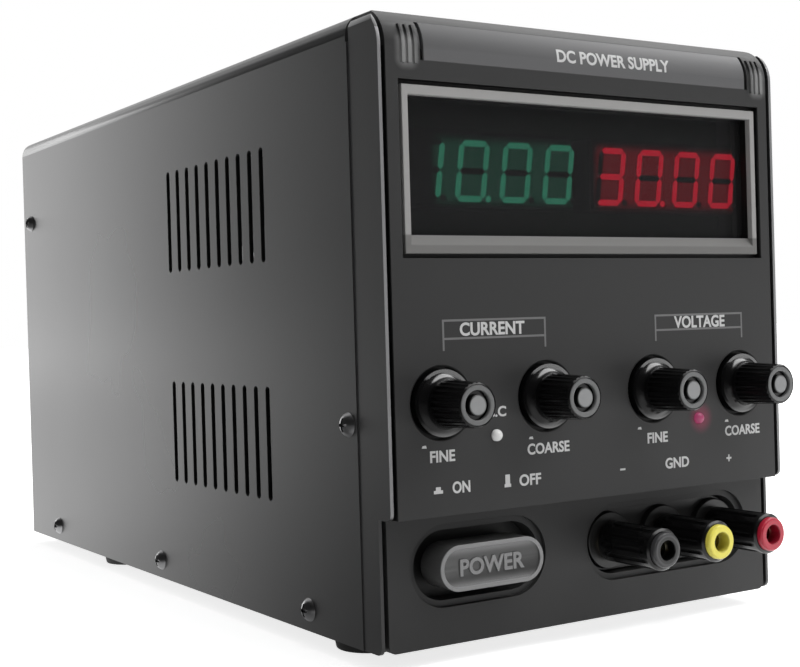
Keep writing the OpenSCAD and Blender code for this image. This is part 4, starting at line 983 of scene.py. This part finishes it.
class SUPPLY_OT_controls(Operator):
    """Finish knobs, their ends, the shafts, potentiometers and lamps"""

    bl_idname = "supply.controls"
    bl_label = "Controls"

    grip_radius: length("Grip radius", "Radius outside which a knob is polished", 5.9 * MM)
    grip_edge: length("Grip edge", "Width over which the polish starts", 0.4 * MM)
    polish_roughness: share("Polish roughness", "Roughness of the polished skirt", 0.16)
    dull_half: length("Dull band", "Half the height of the band that fingers keep dull", 4.6 * MM)
    dull_drop: length("Dull drop", "How far the dull band lies below the knob's axis", 1.4 * MM)
    dull_fade: length("Dull fade", "Height over which the dull band ends", 2.6 * MM)
    polish_ior: number("Polish index", "Refractive index of the polish", 1.8, 1.0)
    dot_reach: share("Dot reach", "Share of the end's radius that the light dot takes", 0.46)
    ring_start: share("Ring start", "Share of the end's radius at which the outer ring starts", 0.70)
    soft_edge: share("Soft edge", "Share of the end's radius over which its tints change", 0.05)
    lamp_strength: number("Lamp strength", "Strength of the lit lamp", 0.9)

    def execute(self, context):
        colours = context.scene.supply_colours
        zinc = metal("zinc_plate")
        shaft = metal("turned_aluminium")
        for name in CONTROLS:
            finish_nodes((name + "_knob",), self.knob_body(name, colours))
            finish_nodes((name + "_cap",), self.knob_end(name, colours))
            finish_nodes((name + "_pot",), zinc)
            finish_nodes((name + "_shaft",), shaft)
        finish_nodes(("pot_nuts",), zinc)
        finish_nodes(("cc_lamp",), plain("milky_lamp"))
        finish_nodes(("cv_lamp",), lit_segment("lit_lamp", colours.lit_lamp, self.lamp_strength))
        return {"FINISHED"}

    def knob_body(self, name, colours):
        """Black plastic with a dull fluted grip and a polished skirt."""
        material = grained(
            name + "_plastic", colours.knob, roughness=0.24, spread=0.05, grain=0.3, relief=0.003,
            mottle=0.2, specular=0.3,
        )
        tree = material.node_tree
        shader = tree.nodes["Principled BSDF"]
        centre = centre_of(name + "_knob")
        whole = 2 * self.grip_radius
        distance = distance_from(tree, centre)
        skirt = add_ramp(tree, distance, self.grip_radius, self.grip_radius + self.grip_edge)
        band = centre - Vector((0.0, 0.0, self.dull_drop))
        worn = soft_patch(tree, band, (whole, whole, self.dull_half), self.dull_fade)
        polish = add_math(tree, "SUBTRACT", skirt, worn, clamp=True)
        tree.links.new(polish, shader.inputs["Coat Weight"])
        shader.inputs["Coat Roughness"].default_value = self.polish_roughness
        shader.inputs["Coat IOR"].default_value = self.polish_ior
        return material

    def knob_end(self, name, colours):
        """Light dot, dark groove and grey outer ring."""
        low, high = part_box(name + "_cap")
        radius = (high.x - low.x) / 2
        soft = self.soft_edge * radius

        def rings(tree, tint):
            distance = distance_from(tree, (low + high) / 2)
            off_dot, on_ring = (
                add_ramp(tree, distance, limit * radius - soft, limit * radius + soft)
                for limit in (self.dot_reach, self.ring_start)
            )
            return add_mix(tree, on_ring, add_mix(tree, off_dot, colours.knob_dot, colours.knob), tint)

        return grained(
            f"{name}_end", colours.knob_ring, roughness=0.33, spread=0.08, grain=0.5, relief=0.008,
            mottle=0.25, cloud=2.0, overlay=rings,
        )


class SUPPLY_OT_switch(Operator):
    """Finish the power button and the switch behind it"""

    bl_idname = "supply.switch"
    bl_label = "Power switch"

    word: wording("Word", "Raised word on the button", "POWER")
    word_height: length("Word height", "Height of the raised word", 4.2 * MM)
    word_out: length("Word relief", "How far the word stands out of the dished face", 0.35 * MM)
    dish: length("Dish", "Depth of the dished face in its middle", 0.62 * MM)
    # Where the painted highlight on the button's rim fades out
    rim_start: share("Rim start", "Share of the dish's depth at which the light rim starts to fade", 0.25)
    rim_end: share("Rim end", "Share of the dish's depth at which the light rim ends", 0.8)

    def execute(self, context):
        colours = context.scene.supply_colours
        low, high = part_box("power_button")

        # Painted highlight: the raised rim in front of the dish is lighter
        def painted_rim_highlight(tree, tint):
            place = add_split(tree, coordinates(tree))["Y"]
            fade = [low.y + limit * self.dish for limit in (self.rim_start, self.rim_end)]
            behind_rim = add_ramp(tree, place, *fade)
            return add_mix(tree, behind_rim, colours.button_rim_highlight, tint)

        button = grained(
            "button_plastic", colours.button, roughness=0.30, spread=0.10, grain=0.35, relief=0.006,
            mottle=0.15, overlay=painted_rim_highlight,
        )
        finish_nodes(("power_button",), button)
        mesh = letters_mesh(self.word, self.word_height, 0.0, self.word_out)
        seat = Vector(((low.x + high.x) / 2, low.y + self.dish, (low.z + high.z) / 2))
        # The raised word takes the colour of the painted rim highlight
        raised = grained(
            "raised_word", colours.button_rim_highlight, roughness=0.34, grain=0.35, relief=0.006, mottle=0.3
        )
        new_piece("button_word", moved(mesh, seat), raised, "switch_button")
        finish_nodes(("power_switch",), plain("black_nylon"))
        finish_nodes(("switch_plunger",), plain("white_nylon"))
        return {"FINISHED"}


class SUPPLY_OT_outputs(Operator):
    """Finish the binding posts, their caps and rings and the plate that holds them"""

    bl_idname = "supply.outputs"
    bl_label = "Binding posts"

    # Radii, shares and edge of the painted shade inside the holes of the posts
    hole_radius: length("Hole radius", "Radius inside which a ring is darker", 2.6 * MM)
    wide_hole: length("Wide hole", "Radius inside which the black ring is darker", 3.3 * MM)
    hole_share: share("Hole share", "How bright the colour is inside the hole", 0.65)
    dark_share: share("Dark share", "How bright the black ring is inside the hole", 0.06)
    hole_edge: length("Hole edge", "Width over which the darker tint ends", 0.3 * MM)

    def execute(self, context):
        colours = context.scene.supply_colours
        brass = metal("turned_brass")
        finish_nodes([name + "_post" for name in POSTS], brass)
        finish_nodes(("post_nuts",), brass)
        rings = (
            (colours.black_ring, self.wide_hole, self.dark_share),
            (colours.yellow, self.hole_radius, self.hole_share),
            (colours.red, self.hole_radius, self.hole_share),
        )
        for name, (tint, radius, kept) in zip(POSTS, rings):
            self.cap(name, tint, radius, kept, colours)
        finish_nodes(("terminal_plate",), plain("plate_plastic"))
        return {"FINISHED"}

    def cap(self, name, tint, radius, kept, colours):
        """Cap with a coloured ring in its end; inside the hole both take the ring's colour darkened, as
        painted shade.
        """
        centre = centre_of(name + "_ring")
        hole_shade = [part * kept for part in tint]

        # Painted shade: inside the hole the ring's colour is darkened
        def painted_hole_shade(tree, base):
            outside = add_ramp(tree, distance_from(tree, centre), radius, radius + self.hole_edge)
            return add_mix(tree, outside, hole_shade, base)

        cap = grained(
            f"{name}_cap_plastic", colours.knob, roughness=0.26, spread=0.08, grain=0.3, relief=0.005,
            overlay=painted_hole_shade,
        )
        finish_nodes((name + "_cap",), cap)
        ring = grained(
            f"{name}_ring_plastic", tint, roughness=0.28, grain=0.4, relief=0.004, mottle=0.08,
            overlay=painted_hole_shade,
        )
        finish_nodes((name + "_ring",), ring)


class SUPPLY_OT_rear(Operator):
    """Finish the fan, its guard, the mains inlet and the voltage selector"""

    bl_idname = "supply.rear"
    bl_label = "Rear"

    def execute(self, context):
        finish_nodes(("fan_frame", "fan_rotor"), plain("fan_moulding"))
        finish_nodes(("fan_guard",), metal("plated_wire"))
        finish_nodes(("mains_inlet", "fuse_drawer", "voltage_selector"), plain("inlet_plastic"))
        finish_nodes(("inlet_pins",), metal("plated_pin"))
        finish_nodes(("fuse",), metal("fuse_cap"))
        finish_nodes(("selector_slider",), plain("red_slider"))
        return {"FINISHED"}


class SUPPLY_OT_inside(Operator):
    """Finish the boards and the large parts on them"""

    bl_idname = "supply.inside"
    bl_label = "Inside"

    def execute(self, context):
        finish_nodes(("display_board", "control_board", "main_board"), circuit_board())
        finish_nodes(("heatsinks",), metal("extruded_aluminium"))
        finish_nodes(("bulk_capacitors",), plain("capacitor_sleeve"))
        finish_nodes(("transformer",), plain("wound_ferrite"))
        finish_nodes(("output_choke",), metal("enamelled_copper"))
        return {"FINISHED"}


# Printed words: name, letters, middle across, middle up, height and width, in millimetres
WORDS = (
    ("current", "CURRENT", -34.3, 77.05, 3.3, 19.6),
    ("voltage", "VOLTAGE", 35.3, 77.0, 3.3, 18.8),
    ("current_fine", "FINE", -50.1, 46.9, 2.8, 7.2),
    ("current_coarse", "COARSE", -17.9, 46.6, 2.8, 13.4),
    ("voltage_fine", "FINE", 18.9, 46.6, 2.8, 7.2),
    ("voltage_coarse", "COARSE", 50.5, 46.6, 2.8, 13.4),
    ("on", "ON", -44.9, 39.1, 2.9, 5.2),
    ("off", "OFF", -24.0, 39.1, 2.9, 6.8),
    ("ground", "GND", 25.7, 39.4, 2.9, 8.6),
    ("constant_current", "C.C", -33.9, 56.6, 2.6, 6.0),
    ("constant_voltage", "C.V", 33.9, 56.6, 2.4, 4.6),
)
# The heading on the strip: letters, middle across, middle up, height and width, in millimetres
HEADING = ("DC POWER SUPPLY", 7.5, 145.5, 3.4, 38.5)
# Boxes around the headings: name, left, right, low, high and foot of the legs, in millimetres
BRACKETS = (
    ("current_bracket", -49.2, -17.8, 74.6, 79.5, 72.0),
    ("voltage_bracket", 18.9, 51.4, 74.8, 79.2, 72.2),
)
# Start mark of a knob: its corners, and its place from the knob's middle, in millimetres
START_MARK = ((-0.7, -0.25), (0.7, -0.35), (0.5, 0.35), (-0.4, 0.3))
START_ACROSS = -5.4
START_UP = -10.2
# Signs of the switch and of the posts: left, low, right and high side of each bar, in millimetres
SIGNS = (
    (-52.9, 38.0, -50.3, 38.8),
    (-52.3, 38.8, -50.9, 39.6),
    (-32.0, 37.8, -30.0, 38.6),
    (-31.7, 38.6, -30.3, 40.9),
    (5.5, 38.85, 7.3, 39.35),
    (44.05, 38.85, 45.95, 39.35),
    (44.75, 39.35, 45.25, 40.05),
    (44.75, 38.15, 45.25, 38.85),
)


def bracket_outlines(left, right, low, high, foot, line):
    """The box around a heading, with a leg down to each knob."""
    return [
        bar(left, high - line, right, high),
        bar(left + line, low, right - line, low + line),
        bar(left, foot, left + line, high - line),
        bar(right - line, foot, right, high - line),
    ]


def scaled(outlines):
    return [[(x * MM, z * MM) for x, z in outline] for outline in outlines]


def print_piece(name, mesh, ink):
    new_piece(name, mesh, ink, "case")


class SUPPLY_OT_lettering(Operator):
    """Print the words, brackets and marks on the front"""

    bl_idname = "supply.lettering"
    bl_label = "Lettering"

    heading: BoolProperty(name="Heading", description="Print the heading on the strip", default=True)
    heading_rows: IntProperty(
        name="Heading rows", description="Rows in which the heading bends over the brow", min=1, default=10
    )

    def execute(self, context):
        colours = context.scene.supply_colours
        sizes = context.scene.supply_sizes
        ink = grained("print", colours.print, roughness=0.5, grain=0.25, relief=0.002, mottle=0.25, cloud=6.0)
        for name, words, across, up, height, width in WORDS:
            mesh = letters_mesh(words, height * MM, width * MM, sizes.print_thickness)
            print_piece(f"label_{name}", moved(mesh, on_face(across, up)), ink)
        grey = grained("printed_lines", colours.lines, roughness=0.5, grain=0.25, relief=0.002)
        for name, *sides in BRACKETS:
            self.flat_print(name, bracket_outlines(*sides, sizes.line_width / MM), grey, sizes)
        self.flat_print("front_marks", self.mark_outlines(), ink, sizes)
        if self.heading:
            self.strip_heading(sizes, ink)
        return {"FINISHED"}

    def flat_print(self, name, outlines, ink, sizes):
        mesh = plate_from_outlines(name, scaled(outlines), sizes.print_thickness)
        print_piece(name, moved(mesh, on_face(0.0, 0.0)), ink)

    def mark_outlines(self):
        """Start marks of the knobs, signs of the switch and of the posts."""
        outlines = []
        for node in CONTROLS:
            knob = centre_of(node + "_knob")
            across = knob.x / MM + START_ACROSS
            up = (knob.z - CASE_BOTTOM) / MM + START_UP
            outlines.append([(across + x, up + z) for x, z in START_MARK])
        return outlines + [bar(*sides) for sides in SIGNS]

    def strip_heading(self, sizes, ink):
        """A generic heading that follows the brow."""
        words, across, up, height, width = HEADING
        brow_foot = COVER_HIGH.z - BROW_RADIUS
        middle_up = CASE_BOTTOM + up * MM
        mesh = letters_mesh(words, height * MM, width * MM, sizes.print_thickness)
        shape = bmesh.new()
        shape.from_mesh(mesh)
        for row in range(1, self.heading_rows):
            level = (row / self.heading_rows - 0.5) * height * MM
            bmesh.ops.bisect_plane(
                shape,
                geom=shape.verts[:] + shape.edges[:] + shape.faces[:],
                plane_co=(0.0, 0.0, level),
                plane_no=(0.0, 0.0, 1.0),
            )
        for vertex in shape.verts:
            along = vertex.co.z + middle_up - brow_foot
            turn = max(along / BROW_RADIUS, 0.0)
            radius = BROW_RADIUS - vertex.co.y
            y = FACE_Y + BROW_RADIUS - radius * math.cos(turn)
            z = brow_foot + (radius * math.sin(turn) if along > 0 else along)
            vertex.co = Vector((vertex.co.x + across * MM, y, z))
        shape.to_mesh(mesh)
        shape.free()
        print_piece("label_heading", mesh, ink)


# Studio

# Lamps: name, place, width and height in metres, and the setting that holds the radiance
LAMPS = (
    ("top_lamp", (0.50, -0.25, 1.15), 1.5, 1.3, "top_light"),
    ("side_lamp", (-0.38, 2.0, 0.20), 0.9, 1.1, "side_light"),
    ("front_lamp", (1.25, -1.1, 1.0), 0.9, 0.9, "front_light"),
)
LAMP_TARGET = (0.0, -0.02, 0.08)
# Steps of direction over which the surround turns bright in reflections, front to back and left to right
BRIGHT_BEHIND = (-0.2, 0.45)
BRIGHT_RIGHT = (-0.44, -0.26)
# Half the floor's size, and a slanted line across it over which it turns bright in reflections
FLOOR_HALF = 6.0
FLOOR_SLANT = 0.5
FLOOR_BRIGHT = (-0.16, 0.02)
# Patch of floor in front of the supply that shows in reflections
AHEAD_PLACE = (0.05, FACE_Y - 0.07, 0.0)
AHEAD_HALF = (0.10, 0.03, 0.01)
AHEAD_FADE = 0.10
# Camera: width of its sensor in millimetres, and the nearest and farthest that it sees in metres
SENSOR_WIDTH = 36.0
NEAR = 0.01
FAR = 50.0
WHITE = (1.0, 1.0, 1.0, 1.0)


def soft_lamp(name, place, width, height, radiance):
    """An area lamp of a set radiance, aimed at the supply."""
    data = bpy.data.lights.new(name, "AREA")
    data.shape = "RECTANGLE"
    data.size = width
    data.size_y = height
    data.energy = radiance * math.pi * width * height
    lamp = bpy.data.objects.new(name, data)
    lamp.location = place
    lamp.rotation_euler = (Vector(LAMP_TARGET) - Vector(place)).to_track_quat("-Z", "Y").to_euler()
    bpy.context.scene.collection.objects.link(lamp)


class SUPPLY_OT_stage(Operator):
    """Build the pale floor, the lamps, the white surround and the camera"""

    bl_idname = "supply.stage"
    bl_label = "Stage"

    mirror_floor: share("Floor in mirrors", "How much of the lit floor shows in reflections", 0.25)

    def execute(self, context):
        studio = context.scene.supply_studio
        colours = context.scene.supply_colours
        scene = context.scene
        scene.view_settings.view_transform = "Standard"
        self.surround(scene, studio)
        self.floor(colours, studio)
        for name, place, width, height, setting in LAMPS:
            soft_lamp(name, place, width, height, getattr(studio, setting))
        self.camera(scene, studio)
        return {"FINISHED"}

    def surround(self, scene, studio):
        """White to the camera, a soft fill on dull faces and part white in reflections."""
        world = bpy.data.worlds.new("white_surround")
        scene.world = world
        world.use_nodes = True
        tree = world.node_tree
        tree.nodes.clear()
        light = tree.nodes.new("ShaderNodeBackground")
        light.inputs["Color"].default_value = WHITE
        path = tree.nodes.new("ShaderNodeLightPath")
        direct = add_math(tree, "MAXIMUM", path.outputs["Is Camera Ray"], path.outputs["Is Transmission Ray"])
        direction = add_split(tree, coordinates(tree, "Generated"))
        behind = add_ramp(tree, direction["Y"], *BRIGHT_BEHIND)
        not_left = add_ramp(tree, direction["X"], *BRIGHT_RIGHT)
        bright = add_math(tree, "MULTIPLY", behind, not_left)
        over_dark = add_math(tree, "MULTIPLY", bright, 1.0 - studio.dark_side)
        mirrored = add_math(tree, "ADD", over_dark, studio.dark_side)
        glossy = add_math(tree, "MULTIPLY", path.outputs["Is Glossy Ray"], mirrored)
        dull = add_math(tree, "SUBTRACT", 1.0, path.outputs["Is Glossy Ray"])
        fill = add_math(tree, "MULTIPLY", dull, studio.fill)
        seen = add_math(tree, "MAXIMUM", direct, glossy)
        tree.links.new(add_math(tree, "MAXIMUM", seen, fill), light.inputs["Strength"])
        output = tree.nodes.new("ShaderNodeOutputWorld")
        tree.links.new(light.outputs["Background"], output.inputs["Surface"])

    def floor(self, colours, studio):
        """Pale around the supply and white farther out, with a brightness of its own in reflections."""
        mesh = bpy.data.meshes.new("floor")
        corners = [(x, y, 0.0) for x, y in bar(-FLOOR_HALF, -FLOOR_HALF, FLOOR_HALF, FLOOR_HALF)]
        mesh.from_pydata(corners, [], [range(len(corners))])
        floor = bpy.data.objects.new("floor", mesh)
        bpy.context.scene.collection.objects.link(floor)
        material, tree, shader = blank_material("pale_floor")
        shader.inputs["Roughness"].default_value = 0.9
        shader.inputs["Specular IOR Level"].default_value = 0.0
        shader.inputs["Emission Color"].default_value = WHITE
        place = coordinates(tree)
        distance = add_vector_math(tree, "LENGTH", place)["Value"]
        clear = add_ramp(tree, distance, studio.clear_start, studio.clear_end)
        rest = add_math(tree, "MULTIPLY", clear, 1.0 - studio.floor_glow)
        own_glow = add_math(tree, "ADD", rest, studio.floor_glow)
        path = tree.nodes.new("ShaderNodeLightPath")
        dim = [part * self.mirror_floor for part in colours.floor]
        base = add_mix(tree, path.outputs["Is Glossy Ray"], colours.floor, dim)
        tree.links.new(base, shader.inputs["Base Color"])
        spot = add_split(tree, place)
        slanted = add_math(tree, "ADD", spot["X"], add_math(tree, "MULTIPLY", spot["Y"], FLOOR_SLANT))
        behind = add_math(tree, "MULTIPLY", add_ramp(tree, slanted, *FLOOR_BRIGHT), studio.floor_behind)
        mask = soft_patch(tree, AHEAD_PLACE, AHEAD_HALF, AHEAD_FADE)
        in_front = add_math(tree, "MULTIPLY", mask, studio.floor_ahead)
        mirrored = add_math(tree, "MAXIMUM", behind, in_front)
        to_camera = add_math(tree, "MULTIPLY", path.outputs["Is Camera Ray"], own_glow)
        to_mirror = add_math(tree, "MULTIPLY", path.outputs["Is Glossy Ray"], mirrored)
        tree.links.new(add_math(tree, "MAXIMUM", to_camera, to_mirror), shader.inputs["Emission Strength"])
        assign(floor, material)

    def camera(self, scene, studio):
        data = bpy.data.cameras.new("camera")
        data.lens = studio.lens
        data.sensor_width = SENSOR_WIDTH
        data.clip_start = NEAR
        data.clip_end = FAR
        camera = bpy.data.objects.new("camera", data)
        aim = Euler((math.pi / 2 + studio.pitch, 0.0, -studio.yaw), "XYZ").to_matrix()
        turned = aim @ Matrix.Rotation(studio.roll, 3, "Z")
        camera.matrix_world = Matrix.Translation(studio.camera_place) @ turned.to_4x4()
        scene.collection.objects.link(camera)
        scene.camera = camera


OPERATORS = (
    SUPPLY_OT_stage,
    SUPPLY_OT_case,
    SUPPLY_OT_front,
    SUPPLY_OT_display,
    SUPPLY_OT_controls,
    SUPPLY_OT_switch,
    SUPPLY_OT_outputs,
    SUPPLY_OT_rear,
    SUPPLY_OT_inside,
    SUPPLY_OT_lettering,
)


class SUPPLY_PT_sidebar(Panel):
    """Lists the settings and the steps that dress the supply"""

    bl_idname = "SUPPLY_PT_sidebar"
    bl_label = "Bench power supply"
    bl_space_type = "VIEW_3D"
    bl_region_type = "UI"
    bl_category = "Supply"

    def draw(self, context):
        layout = self.layout
        for group in (context.scene.supply_colours, context.scene.supply_sizes, context.scene.supply_studio):
            box = layout.box()
            for name in group.__annotations__:
                box.prop(group, name)
        for operator in OPERATORS:
            layout.operator(operator.bl_idname)


CLASSES = (SupplyColours, SupplySizes, SupplyStudio, *OPERATORS, SUPPLY_PT_sidebar)


def register():
    for cls in CLASSES:
        bpy.utils.register_class(cls)
    bpy.types.Scene.supply_colours = PointerProperty(type=SupplyColours)
    bpy.types.Scene.supply_sizes = PointerProperty(type=SupplySizes)
    bpy.types.Scene.supply_studio = PointerProperty(type=SupplyStudio)


def unregister():
    del bpy.types.Scene.supply_studio
    del bpy.types.Scene.supply_sizes
    del bpy.types.Scene.supply_colours
    for cls in reversed(CLASSES):
        bpy.utils.unregister_class(cls)


def main():
    register()
    for step in OPERATORS:
        family, name = step.bl_idname.split(".")
        getattr(getattr(bpy.ops, family), name)()


if __name__ == "__main__":
    main()
